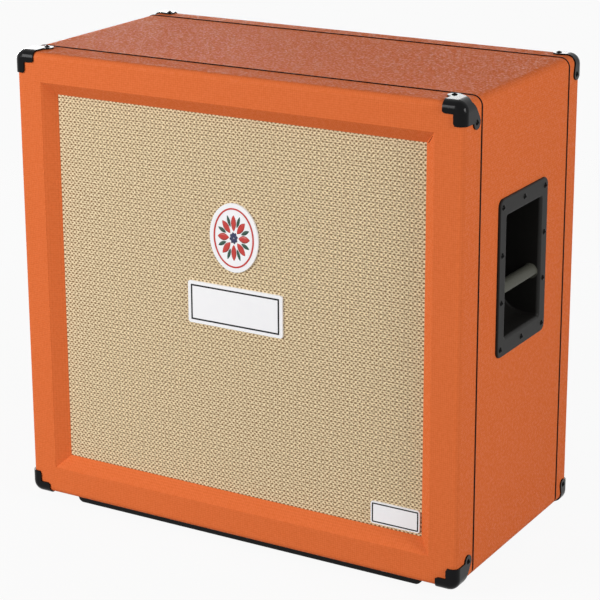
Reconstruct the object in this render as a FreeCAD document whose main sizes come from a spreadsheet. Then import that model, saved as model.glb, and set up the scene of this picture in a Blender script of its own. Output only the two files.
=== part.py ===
import FreeCAD
import Part
import math
import os
import re
import Sketcher

# Closed-back guitar speaker cabinet with four 12-inch speakers.
# Frame: +Z up, the front faces -Y, and the origin lies on the floor under the middle of the box.

# Driving sizes in millimetres, degrees and counts
SIZES = {
    # Box over its vinyl, without the skids
    "cabinet_width": 760,
    "cabinet_height": 720,
    "cabinet_depth": 395,
    "vinyl_thickness": 0.8,
    "panel_thickness": 18,
    "long_edge_radius": 14,
    "face_edge_radius": 9,
    "finger_count": 11,
    "fit_gap": 0.3,
    # Bevelled front frame, grille cloth and baffle
    "frame_face_width": 45,
    "frame_bevel_width": 20,
    "grille_recess": 17,
    "mitre_gap": 0.2,
    "cloth_thickness": 1.2,
    "baffle_thickness": 18,
    # Back panel, battens and the post between baffle and back panel
    "back_thickness": 15,
    "back_recess": 12,
    "batten_width": 20,
    "post_width": 42,
    "post_chamfer": 4,
    # Seams between the vinyl bands, with their piping
    "front_seam": 55,
    "rear_seam": 41,
    "seam_width": 4,
    "seam_groove": 4,
    "piping_gap": 0.2,
    "piping_sink": 0.3,
    "piping_round": 1.6,
    # Skids
    "skid_end_setback": 69,
    "skid_width": 45,
    "skid_height": 18,
    "skid_setback": 24,
    "skid_end_radius": 10,
    "skid_edge_radius": 3,
    "skid_screw_inset": 40,
    "skid_screw_sink": 4,
    # Recessed bar handles
    "handle_width": 165,
    "handle_height": 239,
    "handle_lift": 438,
    "handle_flange": 4,
    "handle_corner_radius": 12,
    "handle_rim_radius": 2,
    "handle_lip_radius": 5,
    "handle_side_border": 23.5,
    "handle_end_border": 28,
    "dish_depth": 65,
    "dish_curve": 42,
    "dish_side_radius": 3,
    "dish_wall": 3,
    "dish_cut_gap": 1,
    "bar_radius": 11,
    "bar_sink": 15,
    "bar_drop": 23.5,
    "bar_flat_drop": 2.5,
    "handle_screw_side": 10,
    "handle_screw_end": 12.5,
    # Plates on the grille cloth
    "plate_thickness": 3,
    "plate_corner_radius": 4,
    "name_plate_width": 165,
    "name_plate_height": 66,
    "name_plate_lift": 3,
    "medallion_width": 84,
    "medallion_height": 106,
    "medallion_lift": 113,
    "small_plate_width": 81,
    "small_plate_height": 35,
    "small_plate_side": 2,
    "small_plate_lift": 5,
    # Corner protectors
    "corner_thickness": 2.4,
    "corner_gap": 0.1,
    "corner_leg_length": 33,
    "corner_leg_width": 16,
    "corner_leg_round": 5,
    "front_lobe_side": 33,
    "front_lobe_depth": 36,
    "front_lobe_radius": 10,
    "front_lobe_slope": 35,
    "rear_lobe_side": 28,
    "rear_lobe_depth": 16,
    "rear_lobe_radius": 9,
    "rear_lobe_slope": 12,
    # Wood screws
    "screw_head_radius": 4,
    "screw_head_height": 2,
    "screw_crown_radius": 2,
    "screw_shank_radius": 1.6,
    "screw_length": 15,
    "long_screw_length": 30,
    "screw_gap": 0.3,
    "back_screw_inset": 10,
    # Speakers: frame and mounting, with widths inwards from the frame's edge
    "speaker_margin": 5.1,
    "hole_inset": 13,
    "bolt_inset": 6,
    "bolt_radius": 2.5,
    "bolt_head_radius": 5,
    "bolt_head_height": 3,
    "bolt_gap": 0.2,
    "nut_radius": 4.6,
    "nut_thickness": 4,
    "bolt_tail": 2,
    "gasket_thickness": 3,
    "gasket_gap": 0.5,
    "basket_sheet": 1.5,
    "basket_flange_width": 23.5,
    "basket_wall_depth": 22,
    "basket_shoulder_width": 19,
    "spider_seat_radius": 74,
    "spider_seat_depth": 66,
    "basket_cup_radius": 60,
    "basket_depth": 94,
    "basket_floor_radius": 30,
    "window_count": 6,
    "window_half_angle": 20,
    "window_margin": 5,
    # Speakers: magnet and moving pieces
    "top_plate_radius": 56,
    "top_plate_thickness": 6.4,
    "magnet_radius": 72,
    "magnet_hole_radius": 32,
    "magnet_thickness": 20,
    "yoke_radius": 66,
    "yoke_thickness": 8,
    "pole_radius": 21.9,
    "coil_gap": 0.4,
    "coil_wall": 0.9,
    "coil_front": 54,
    "coil_overhang": 4,
    "glue_gap": 0.25,
    "cone_rim_width": 8,
    "roll_width": 14,
    "cone_edge_depth": 5,
    "cone_neck_depth": 57,
    "cone_paper": 1.2,
    "cap_radius": 38,
    "cap_height": 14,
    "cap_paper": 1,
    "roll_height": 5,
    "roll_sheet": 0.8,
    "roll_margin": 1,
    "surround_margin": 2,
    "spider_sheet": 0.8,
    "spider_wave": 3,
    "spider_wave_count": 4,
    "spider_margin": 1,
    "terminal_width": 24,
    "terminal_height": 12,
    "terminal_thickness": 3,
    "tag_spacing": 12,
    "tag_width": 6,
    "tag_sheet": 1.5,
    "tag_length": 12,
    # Input dish with two jack sockets
    "input_width": 140,
    "input_height": 90,
    "input_flange": 2,
    "input_corner_radius": 10,
    "input_mouth_width": 108,
    "input_mouth_height": 58,
    "input_depth": 24,
    "input_wall": 2,
    "input_drop": 130,
    "input_screw_inset": 8,
    "jack_spacing": 50,
    "jack_bore_radius": 3.25,
    "jack_bush_radius": 4.7,
    "jack_bush_length": 6,
    "jack_body_radius": 9,
    "jack_body_length": 24,
    "jack_nut_radius": 8,
    "jack_nut_thickness": 2.5,
    "jack_gap": 0.2,
    # Leads from the jack sockets to the speakers
    "lead_radius": 2,
    "lead_bend": 20,
    "lead_slack": 30,
}

# Length by which a cutting tool stands out past what it cuts
OVERSHOOT = "5"

# Distance within which two places count as the same
CLOSE = 1e-4

# Planes and centres that several pieces share, as formulas over the sizes
HALF_WIDTH = "(cabinet_width/2)"
FRONT = "(-cabinet_depth/2)"
BACK = "(cabinet_depth/2)"
BOTTOM = "skid_height"
TOP = "(skid_height+cabinet_height)"
MIDDLE = "(skid_height+cabinet_height/2)"
WALL = "(vinyl_thickness+panel_thickness)"
INNER_HALF = f"({HALF_WIDTH}-{WALL})"
INNER_BOTTOM = f"({BOTTOM}+{WALL})"
INNER_TOP = f"({TOP}-{WALL})"
FRAME_WIDTH = "(frame_face_width+frame_bevel_width)"
CLOTH_FRONT = f"({FRONT}+grille_recess)"
BAFFLE_FRONT = f"({CLOTH_FRONT}+cloth_thickness)"
BAFFLE_BACK = f"({BAFFLE_FRONT}+baffle_thickness)"
SPEAKER_FACE = f"({BAFFLE_BACK}+gasket_thickness)"
BACK_OUTSIDE = f"({BACK}-back_recess)"
BACK_INSIDE = f"({BACK_OUTSIDE}-back_thickness)"
FRONT_SEAM = f"({FRONT}+front_seam)"
REAR_SEAM = f"({BACK}-rear_seam)"
HANDLE_Z = f"({BOTTOM}+handle_lift)"
INPUT_Z = f"({MIDDLE}-input_drop)"
SKID_YS = (f"({FRONT}+skid_setback+skid_width/2)", f"({BACK}-skid_setback-skid_width/2)")
BORE = "(screw_shank_radius+screw_gap)"
BOLT_BORE = "(bolt_radius+bolt_gap)"
SKID_LENGTH = "(cabinet_width-2*skid_end_setback)"
MOUTH_WIDTH = "(handle_width-2*handle_side_border)"
MOUTH_HEIGHT = "(handle_height-2*handle_end_border)"
# Each speaker stands in the middle of its quarter of the room between the battens
SPEAKER_PITCH_ACROSS = f"({INNER_HALF}-batten_width)"
SPEAKER_PITCH_UP = f"(({INNER_TOP}-{INNER_BOTTOM})/2-batten_width)"
SPEAKER_RADIUS = f"(min({SPEAKER_PITCH_ACROSS};{SPEAKER_PITCH_UP})/2-speaker_margin)"
SPEAKER_HOLE = f"({SPEAKER_RADIUS}-hole_inset)"
BASKET_WALL = f"({SPEAKER_RADIUS}-basket_flange_width)"
BASKET_SHOULDER = f"({BASKET_WALL}-basket_shoulder_width)"
CONE_RIM = f"({BASKET_WALL}-roll_margin-roll_width)"
CONE_EDGE = f"({CONE_RIM}-cone_rim_width)"
COIL_INSIDE = "(pole_radius+coil_gap)"
COIL_OUTSIDE = f"({COIL_INSIDE}+coil_wall)"
GAP_OUTSIDE = f"({COIL_OUTSIDE}+coil_gap)"
CONE_NECK = f"({COIL_OUTSIDE}+glue_gap)"

ALONG_X = FreeCAD.Rotation(FreeCAD.Vector(0, 0, 1), FreeCAD.Vector(1, 0, 0))
ALONG_Y = FreeCAD.Rotation(FreeCAD.Vector(0, 0, 1), FreeCAD.Vector(0, 1, 0))
HALF_TURN = FreeCAD.Rotation(FreeCAD.Vector(0, 0, 1), 180)
HALF_TURN_ABOUT_Y = FreeCAD.Rotation(FreeCAD.Vector(0, 1, 0), 180)
HEAD_DOWN = FreeCAD.Rotation(FreeCAD.Vector(1, 0, 0), 180)
UPRIGHT = FreeCAD.Rotation(FreeCAD.Vector(0, 0, 1), FreeCAD.Vector(1, 0, 0), FreeCAD.Vector(0, -1, 0), "ZXY")

doc = FreeCAD.newDocument("speaker_cabinet")
sheet = doc.addObject("Spreadsheet::Sheet", "sizes")
for row, (alias, size) in enumerate(SIZES.items(), start=1):
    sheet.set(f"A{row}", alias)
    sheet.set(f"B{row}", str(size))
    sheet.setAlias(f"B{row}", alias)
doc.recompute()

# Finished sub-parts by node name
nodes = {}


# Helpers for formulas and placement
def expression(formula):
    """Write a formula over the sheet's aliases in the form that an object's expression takes."""
    return re.sub(r"[a-z_]+", lambda word: f"sizes.{word[0]}" if word[0] in SIZES else word[0], formula)


def value(formula):
    """Work a formula out as a number."""
    return float(sheet.evalExpression(expression(formula)))


def bind(obj, prop, formula):
    obj.setExpression(prop, expression(formula))


def place(obj, x="0", y="0", z="0", turn=None):
    """Put an object at a point given by formulas, turned by a fixed rotation."""
    if turn:
        obj.Placement = FreeCAD.Placement(FreeCAD.Vector(), turn)
    for axis, formula in zip("xyz", (x, y, z)):
        bind(obj, f"Placement.Base.{axis}", formula)
    return obj


def node(name, obj):
    """Name a finished sub-part."""
    obj.Label = name
    nodes[name] = obj
    return obj


# Helpers for primitives, booleans and copies
def box(name, x, y, z):
    """A box between two formulas on each axis."""
    obj = doc.addObject("Part::Box", name)
    for prop, (low, high) in zip(("Length", "Width", "Height"), (x, y, z)):
        bind(obj, prop, f"({high})-({low})")
    return place(obj, x[0], y[0], z[0])


def cylinder(name, radius, length, at, turn=None):
    obj = doc.addObject("Part::Cylinder", name)
    bind(obj, "Radius", radius)
    bind(obj, "Height", length)
    return place(obj, *at, turn=turn)


def cut(name, base, *tools):
    """Cut one or more tools from a base."""
    obj = doc.addObject("Part::Cut", name)
    obj.Base = base
    obj.Tool = tools[0] if len(tools) == 1 else group(f"{name}_tools", tools)
    return obj


def common(name, base, tool):
    obj = doc.addObject("Part::Common", name)
    obj.Base = base
    obj.Tool = tool
    return obj


def fuse(name, shapes):
    obj = doc.addObject("Part::MultiFuse", name)
    obj.Shapes = list(shapes)
    return obj


def group(name, members):
    obj = doc.addObject("Part::Compound", name)
    obj.Links = list(members)
    return obj


def copy_at(name, master, x="0", y="0", z="0", turn=None):
    """A placed copy that follows its master."""
    return place(group(name, [master]), x, y, z, turn)


# Helpers for bodies, sketches and features
def new_body(name):
    return doc.addObject("PartDesign::Body", name)


def origin_feature(body, role):
    return next(feature for feature in body.Origin.OriginFeatures if feature.Role == role)


def new_sketch(body, plane, offset="0"):
    """A sketch on one of the body's own planes, moved along the plane's normal."""
    sketch = body.newObject("Sketcher::SketchObject", f"{body.Name}_sketch")
    sketch.AttachmentSupport = (origin_feature(body, plane), [""])
    sketch.MapMode = "FlatFace"
    bind(sketch, "AttachmentOffset.Base.z", offset)
    return sketch


def pin(sketch, kind, where, formula):
    """Add a dimension to a sketch and bind it to a formula."""
    index = sketch.addConstraint(Sketcher.Constraint(kind, *where, value(formula)))
    sketch.setExpression(f"Constraints[{index}]", expression(formula))


def add_polygon(sketch, corners):
    """A closed outline whose corners are pairs of formulas."""
    first = sketch.GeometryCount
    count = len(corners)
    points = [FreeCAD.Vector(value(across), value(up), 0) for across, up in corners]
    for index in range(count):
        sketch.addGeometry(Part.LineSegment(points[index], points[(index + 1) % count]))
    for index in range(count):
        following = first + (index + 1) % count
        sketch.addConstraint(Sketcher.Constraint("Coincident", first + index, 2, following, 1))
    for index, (across, up) in enumerate(corners, start=first):
        pin(sketch, "DistanceX", (-1, 1, index, 1), across)
        pin(sketch, "DistanceY", (-1, 1, index, 1), up)


def add_rectangle(sketch, across, up):
    """A rectangle between two formulas each way."""
    add_polygon(sketch, [(across[0], up[0]), (across[1], up[0]), (across[1], up[1]), (across[0], up[1])])


def add_circle(sketch, across, up, radius):
    centre = FreeCAD.Vector(value(across), value(up), 0)
    index = sketch.addGeometry(Part.Circle(centre, FreeCAD.Vector(0, 0, 1), value(radius)))
    pin(sketch, "DistanceX", (-1, 1, index, 3), across)
    pin(sketch, "DistanceY", (-1, 1, index, 3), up)
    pin(sketch, "Radius", (index,), radius)


def pad(body, sketch, length, both_ways=False, reverse=False):
    feature = body.newObject("PartDesign::Pad", f"{body.Name}_pad")
    feature.Profile = sketch
    bind(feature, "Length", length)
    feature.SideType = "Symmetric" if both_ways else "One side"
    feature.Reversed = reverse
    return feature


def pocket(body, sketch, depth=None, reverse=False):
    """Cut a sketch to a depth, or right through the body both ways."""
    feature = body.newObject("PartDesign::Pocket", f"{body.Name}_pocket")
    feature.Profile = sketch
    if depth is None:
        feature.SideType = "Symmetric"
        feature.Type = "ThroughAll"
    else:
        bind(feature, "Length", depth)
        feature.Reversed = reverse
    return feature


def polar(body, feature, axis, count):
    """Repeat a feature evenly round one of the body's axes."""
    pattern = body.newObject("PartDesign::PolarPattern", f"{body.Name}_pattern")
    pattern.Originals = [feature]
    pattern.Axis = (origin_feature(body, axis), [""])
    pattern.Angle = 360
    bind(pattern, "Occurrences", count)
    body.Tip = pattern
    return pattern


def turned(name, outline):
    """A body turned about its own Y axis from an outline of (radius, distance along Y) corners."""
    body = new_body(name)
    sketch = new_sketch(body, "XY_Plane")
    add_polygon(sketch, outline)
    feature = body.newObject("PartDesign::Revolution", f"{name}_turned")
    feature.Profile = sketch
    feature.ReferenceAxis = (sketch, ["V_Axis"])
    feature.Angle = 360
    return body


def fillet(body, base, chosen, radius):
    """Round the edges of a feature that a test chooses."""
    doc.recompute()
    names = [f"Edge{index}" for index, edge in enumerate(base.Shape.Edges, start=1) if chosen(edge)]
    feature = body.newObject("PartDesign::Fillet", f"{body.Name}_fillet")
    feature.Base = (base, names)
    bind(feature, "Radius", radius)
    return feature


def runs_along(edge, axis):
    """Is the edge straight along one axis?"""
    size = edge.BoundBox
    lengths = {"x": size.XLength, "y": size.YLength, "z": size.ZLength}
    return lengths.pop(axis) > CLOSE and max(lengths.values()) < CLOSE


def lies_at(edge, axis, place_on_axis):
    """Does the whole edge lie at one place on an axis?"""
    size = edge.BoundBox
    limits = {"x": (size.XMin, size.XMax), "y": (size.YMin, size.YMax), "z": (size.ZMin, size.ZMax)}
    return all(abs(limit - place_on_axis) < CLOSE for limit in limits[axis])


# Rounded box shapes that the panels, the vinyl and the piping are cut from
def rounded_box(name, grow):
    """The cabinet's outer form, with every face moved out by grow."""
    body = new_body(name)
    sketch = new_sketch(body, "XZ_Plane")
    half = f"({HALF_WIDTH}+{grow})"
    add_rectangle(sketch, (f"-{half}", half), (f"{BOTTOM}-({grow})", f"{TOP}+{grow}"))
    block = pad(body, sketch, f"cabinet_depth+2*({grow})", both_ways=True)
    long_edges = fillet(body, block, lambda edge: runs_along(edge, "y"), f"long_edge_radius+{grow}")
    ends = [value(f"{FRONT}-({grow})"), value(f"{BACK}+{grow}")]
    fillet(body, long_edges, lambda edge: any(lies_at(edge, "y", end) for end in ends),
           f"face_edge_radius+{grow}")
    return body


def seam_ring(name, outside, inside, width):
    """A ring round the cabinet between two depths below the vinyl's surface, centred on y = 0."""
    body = new_body(name)
    sketch = new_sketch(body, "XZ_Plane")
    for inset in (outside, inside):
        half = f"({HALF_WIDTH}-({inset}))"
        add_rectangle(sketch, (f"-{half}", half), (f"{BOTTOM}+{inset}", f"{TOP}-({inset})"))
    feature = pad(body, sketch, width, both_ways=True)
    for inset in (inside, outside):
        edge_x = value(f"{HALF_WIDTH}-({inset})")
        feature = fillet(body, feature, lambda edge: runs_along(edge, "y")
                         and abs(abs(edge.BoundBox.XMin) - edge_x) < CLOSE, f"long_edge_radius-({inset})")
    return body


def opening_bevel(name, shift):
    """The tapered opening of the front frame, moved out sideways by shift."""
    wedge = doc.addObject("Part::Wedge", name)
    lead = f"frame_bevel_width*{OVERSHOOT}/grille_recess"
    wide = f"({shift}+{lead}-frame_face_width)"
    narrow = f"({shift}-{FRAME_WIDTH})"
    limits = {
        "Ymin": f"{FRONT}-{OVERSHOOT}", "Ymax": CLOTH_FRONT,
        "Xmin": f"-{HALF_WIDTH}-{wide}", "Xmax": f"{HALF_WIDTH}+{wide}",
        "Zmin": f"{BOTTOM}-{wide}", "Zmax": f"{TOP}+{wide}",
        "X2min": f"-{HALF_WIDTH}-{narrow}", "X2max": f"{HALF_WIDTH}+{narrow}",
        "Z2min": f"{BOTTOM}-{narrow}", "Z2max": f"{TOP}+{narrow}",
    }
    for prop, formula in limits.items():
        bind(wedge, prop, formula)
    return wedge


WOOD_SHIFT = "(vinyl_thickness*sqrt(grille_recess^2+frame_bevel_width^2)/grille_recess)"
FULL_WIDTH = (f"-{HALF_WIDTH}-{OVERSHOOT}", f"{HALF_WIDTH}+{OVERSHOOT}")
FULL_DEPTH = (f"{FRONT}-{OVERSHOOT}", f"{BACK}+{OVERSHOOT}")
FULL_HEIGHT = (f"{BOTTOM}-{OVERSHOOT}", f"{TOP}+{OVERSHOOT}")
INNER_WIDTH = (f"-{INNER_HALF}", INNER_HALF)
INNER_HEIGHT = (INNER_BOTTOM, INNER_TOP)
BOARD_WIDTH = (f"fit_gap-{INNER_HALF}", f"{INNER_HALF}-fit_gap")
BOARD_HEIGHT = (f"{INNER_BOTTOM}+fit_gap", f"{INNER_TOP}-fit_gap")

vinyl_form = rounded_box("vinyl_form", "0")
wood_form = rounded_box("wood_form", "(-vinyl_thickness)")
wood_bevel = opening_bevel("wood_bevel", WOOD_SHIFT)
groove_ring = seam_ring("groove_ring", f"-{OVERSHOOT}", "seam_groove", "seam_width")
front_groove = copy_at("front_groove", groove_ring, y=FRONT_SEAM)
rear_groove = copy_at("rear_groove", groove_ring, y=REAR_SEAM)


# Plywood box
def handle_hole(name, side):
    """The hole in one side for the handle's dish."""
    half_width = f"({MOUTH_WIDTH}/2+dish_wall+dish_cut_gap)"
    half_height = f"({MOUTH_HEIGHT}/2+dish_wall+dish_cut_gap)"
    low, high = f"{INNER_HALF}-{OVERSHOOT}", f"{HALF_WIDTH}+{OVERSHOOT}"
    x = (low, high) if side > 0 else (f"-({high})", f"-({low})")
    return box(name, x, (f"-{half_width}", half_width),
               (f"{HANDLE_Z}-{half_height}", f"{HANDLE_Z}+{half_height}"))


def finger_boxes(name, first, spans):
    """Every second finger of the corner joints, from the first one on, as boxes over (x, z) spans."""
    pitch = "(cabinet_depth/finger_count)"
    boxes = []
    for finger in range(first, int(value("finger_count")), 2):
        y = (f"{FRONT}+{finger}*{pitch}", f"{FRONT}+{finger + 1}*{pitch}")
        for index, (x, z) in enumerate(spans):
            boxes.append(box(f"{name}_{finger}_{index}", x, y, z))
    return group(name, boxes)


def build_panels():
    """Four plywood panels with finger-jointed corners, seam grooves and handle holes."""
    left = (FULL_WIDTH[0], f"-{INNER_HALF}")
    right = (INNER_HALF, FULL_WIDTH[1])
    low = (FULL_HEIGHT[0], INNER_BOTTOM)
    high = (INNER_TOP, FULL_HEIGHT[1])
    side_fingers = finger_boxes("side_fingers", 1, [(left, FULL_HEIGHT), (right, FULL_HEIGHT)])
    level_fingers = finger_boxes("level_fingers", 0, [(FULL_WIDTH, low), (FULL_WIDTH, high)])
    slabs = {
        "top_panel": (FULL_WIDTH, high, side_fingers, []),
        "bottom_panel": (FULL_WIDTH, low, side_fingers, []),
        "left_panel": (left, FULL_HEIGHT, level_fingers, [handle_hole("left_hole", -1)]),
        "right_panel": (right, FULL_HEIGHT, level_fingers, [handle_hole("right_hole", 1)]),
    }
    bores = [corner_bores, handle_bores, skid_bores]
    for name, (x, z, fingers, holes) in slabs.items():
        slab = common(f"{name}_slab", wood_form, box(f"{name}_span", x, FULL_DEPTH, z))
        grooved = cut(f"{name}_grooved", slab, front_groove, rear_groove)
        node(name, cut(f"{name}_cut", grooved, fingers, *holes, *bores))


def build_front_frame():
    """Four bevelled rails, mitred at 45 degrees."""
    rails = box("frame_block", INNER_WIDTH, (f"{FRONT}+vinyl_thickness", CLOTH_FRONT), INNER_HEIGHT)
    ring = cut("frame_ring", rails, wood_bevel)
    saws = []
    half_gap = "(mitre_gap/sqrt(8))"
    for across in (-1, 1):
        for up, corner_z in ((-1, INNER_BOTTOM), (1, INNER_TOP)):
            body = new_body("mitre_saw")
            sketch = new_sketch(body, "XZ_Plane", f"-({CLOTH_FRONT}+{OVERSHOOT})")
            corner = f"{across}*{INNER_HALF}"
            outer = f"({OVERSHOOT})"
            inner = f"(-{FRAME_WIDTH})"
            add_polygon(sketch, [
                (f"{corner}+{across}*({outer}-{half_gap})", f"{corner_z}+{up}*({outer}+{half_gap})"),
                (f"{corner}+{across}*({outer}+{half_gap})", f"{corner_z}+{up}*({outer}-{half_gap})"),
                (f"{corner}+{across}*({inner}+{half_gap})", f"{corner_z}+{up}*({inner}-{half_gap})"),
                (f"{corner}+{across}*({inner}-{half_gap})", f"{corner_z}+{up}*({inner}+{half_gap})"),
            ])
            pad(body, sketch, f"grille_recess+2*{OVERSHOOT}")
            saws.append(body)
    node("front_frame", cut("front_frame_cut", ring, *saws))


def build_vinyl():
    """Three bands of vinyl: front with the bevel, middle, and rear with the rim."""
    half_seam = "seam_width/2"
    spans = {
        "front": (FULL_DEPTH[0], f"{FRONT_SEAM}-{half_seam}"),
        "middle": (f"{FRONT_SEAM}+{half_seam}", f"{REAR_SEAM}-{half_seam}"),
        "rear": (f"{REAR_SEAM}+{half_seam}", FULL_DEPTH[1]),
    }
    bands = {name: common(f"{name}_band", vinyl_form, box(f"{name}_span", FULL_WIDTH, y, FULL_HEIGHT))
             for name, y in spans.items()}
    front_core = cut("front_core", wood_form, wood_bevel)
    node("front_vinyl", cut("front_skin", bands["front"], opening_bevel("vinyl_bevel", "0"), front_core,
                            corner_bores, skid_bores))
    holes = [copy_at("left_vinyl_hole", doc.getObject("left_hole")),
             copy_at("right_vinyl_hole", doc.getObject("right_hole"))]
    node("middle_vinyl", cut("middle_skin", bands["middle"], wood_form, *holes, handle_bores, skid_bores))
    rim_y = (BACK_OUTSIDE, FULL_DEPTH[1])
    rim_wood = box("rim_wood", INNER_WIDTH, rim_y, INNER_HEIGHT)
    lining = "vinyl_thickness"
    rim_lined = box("rim_lined", (f"{lining}-{INNER_HALF}", f"{INNER_HALF}-{lining}"), rim_y,
                    (f"{INNER_BOTTOM}+{lining}", f"{INNER_TOP}-{lining}"))
    rear_core = cut("rear_core", wood_form, rim_wood)
    node("rear_vinyl", cut("rear_skin", bands["rear"], rim_lined, rear_core, corner_bores, skid_bores))


def build_piping():
    """Two rings of round-fronted piping in the seam grooves."""
    width = "(seam_width-2*piping_gap)"
    ring = seam_ring("piping_ring", "piping_sink", "(seam_groove-piping_gap)", width)
    crown = value(f"{HALF_WIDTH}-piping_sink")
    high = value(f"{TOP}-piping_sink")
    low = value(f"{BOTTOM}+piping_sink")

    def on_outside(edge):
        """Is the edge on the ring's outer face and across the seam?"""
        size = edge.BoundBox
        reaches = max(abs(size.XMin), abs(size.XMax)) > crown - CLOSE
        return size.YLength < CLOSE and (reaches or size.ZMax > high - CLOSE or size.ZMin < low + CLOSE)

    fillet(ring, ring.Tip, on_outside, "piping_round")
    node("piping", group("piping_rings", [
        copy_at("front_piping", ring, y=FRONT_SEAM), copy_at("rear_piping", ring, y=REAR_SEAM)]))


def build_boards():
    """Battens, post, baffle, cloth and back panel."""
    cleat = "batten_width"
    for name, y in (("front_battens", (BAFFLE_BACK, f"{BAFFLE_BACK}+{cleat}")),
                    ("rear_battens", (f"{BACK_INSIDE}-{cleat}", BACK_INSIDE))):
        between = (f"{INNER_BOTTOM}+{cleat}", f"{INNER_TOP}-{cleat}")
        bars = group(f"{name}_set", [
            box(f"{name}_low", INNER_WIDTH, y, (INNER_BOTTOM, between[0])),
            box(f"{name}_high", INNER_WIDTH, y, (between[1], INNER_TOP)),
            box(f"{name}_left", (f"-{INNER_HALF}", f"{cleat}-{INNER_HALF}"), y, between),
            box(f"{name}_right", (f"{INNER_HALF}-{cleat}", INNER_HALF), y, between)])
        node(name, cut(f"{name}_drilled", bars, back_bores) if name == "rear_battens" else bars)
    post = new_body("post")
    sketch = new_sketch(post, "XZ_Plane", f"-{BAFFLE_BACK}")
    half = "post_width/2"
    add_rectangle(sketch, (f"-{half}", half), (f"{MIDDLE}-{half}", f"{MIDDLE}+{half}"))
    length = pad(post, sketch, f"{BACK_INSIDE}-{BAFFLE_BACK}", reverse=True)
    doc.recompute()
    chamfer = post.newObject("PartDesign::Chamfer", "post_chamfer")
    chamfer.Base = (length, [f"Edge{index}" for index, edge in enumerate(length.Shape.Edges, start=1)
                             if runs_along(edge, "y")])
    bind(chamfer, "Size", "post_chamfer")
    node("centre_post", cut("post_drilled", post, back_bores))
    node("grille_cloth", box("cloth", BOARD_WIDTH, (CLOTH_FRONT, BAFFLE_FRONT), BOARD_HEIGHT))
    board = new_body("baffle")
    sketch = new_sketch(board, "XZ_Plane", f"-{BAFFLE_FRONT}")
    add_rectangle(sketch, BOARD_WIDTH, BOARD_HEIGHT)
    for x, z in speaker_centres():
        add_circle(sketch, x, z, SPEAKER_HOLE)
    pad(board, sketch, "baffle_thickness", reverse=True)
    node("baffle_board", cut("baffle_drilled", board, *bolt_holes))
    panel = box("back_board", BOARD_WIDTH, (BACK_INSIDE, BACK_OUTSIDE), BOARD_HEIGHT)
    half_width = "(input_mouth_width/2+input_wall+dish_cut_gap)"
    half_height = "(input_mouth_height/2+input_wall+dish_cut_gap)"
    hole = box("input_hole", (f"-{half_width}", half_width), FULL_DEPTH,
               (f"{INPUT_Z}-{half_height}", f"{INPUT_Z}+{half_height}"))
    node("back_panel", cut("back_panel_cut", panel, hole, back_bores, input_bores))


def build_skids():
    """Two skids with rounded lower ends, drilled for sunk screws."""
    body = new_body("skid")
    sketch = new_sketch(body, "XZ_Plane")
    half = f"{SKID_LENGTH}/2"
    add_rectangle(sketch, (f"-{half}", half), ("0", "skid_height"))
    bar = pad(body, sketch, "skid_width", both_ways=True)
    ends = fillet(body, bar, lambda edge: runs_along(edge, "y") and lies_at(edge, "z", 0),
                  "skid_end_radius")
    fillet(body, ends, lambda edge: runs_along(edge, "x") and lies_at(edge, "z", 0), "skid_edge_radius")
    wells = [cylinder(f"skid_well_{index}", "screw_head_radius+screw_gap", "skid_screw_sink", (x, "0", "0"))
             for index, x in enumerate(skid_screw_places())]
    wells += [cylinder(f"skid_bore_{index}", BORE, "skid_height", (x, "0", "0"))
              for index, x in enumerate(skid_screw_places())]
    drilled = cut("skid_drilled", body, fuse("skid_wells", wells))
    for name, y in zip(("front_skid", "rear_skid"), SKID_YS):
        node(name, copy_at(f"{name}_copy", drilled, y=y))


def skid_screw_places():
    """Four screw places along a skid, the outer two at a set distance from its ends."""
    outer = f"({SKID_LENGTH}/2-skid_screw_inset)"
    return [f"{share}*{outer}/3" for share in (-3, -1, 1, 3)]


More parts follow.
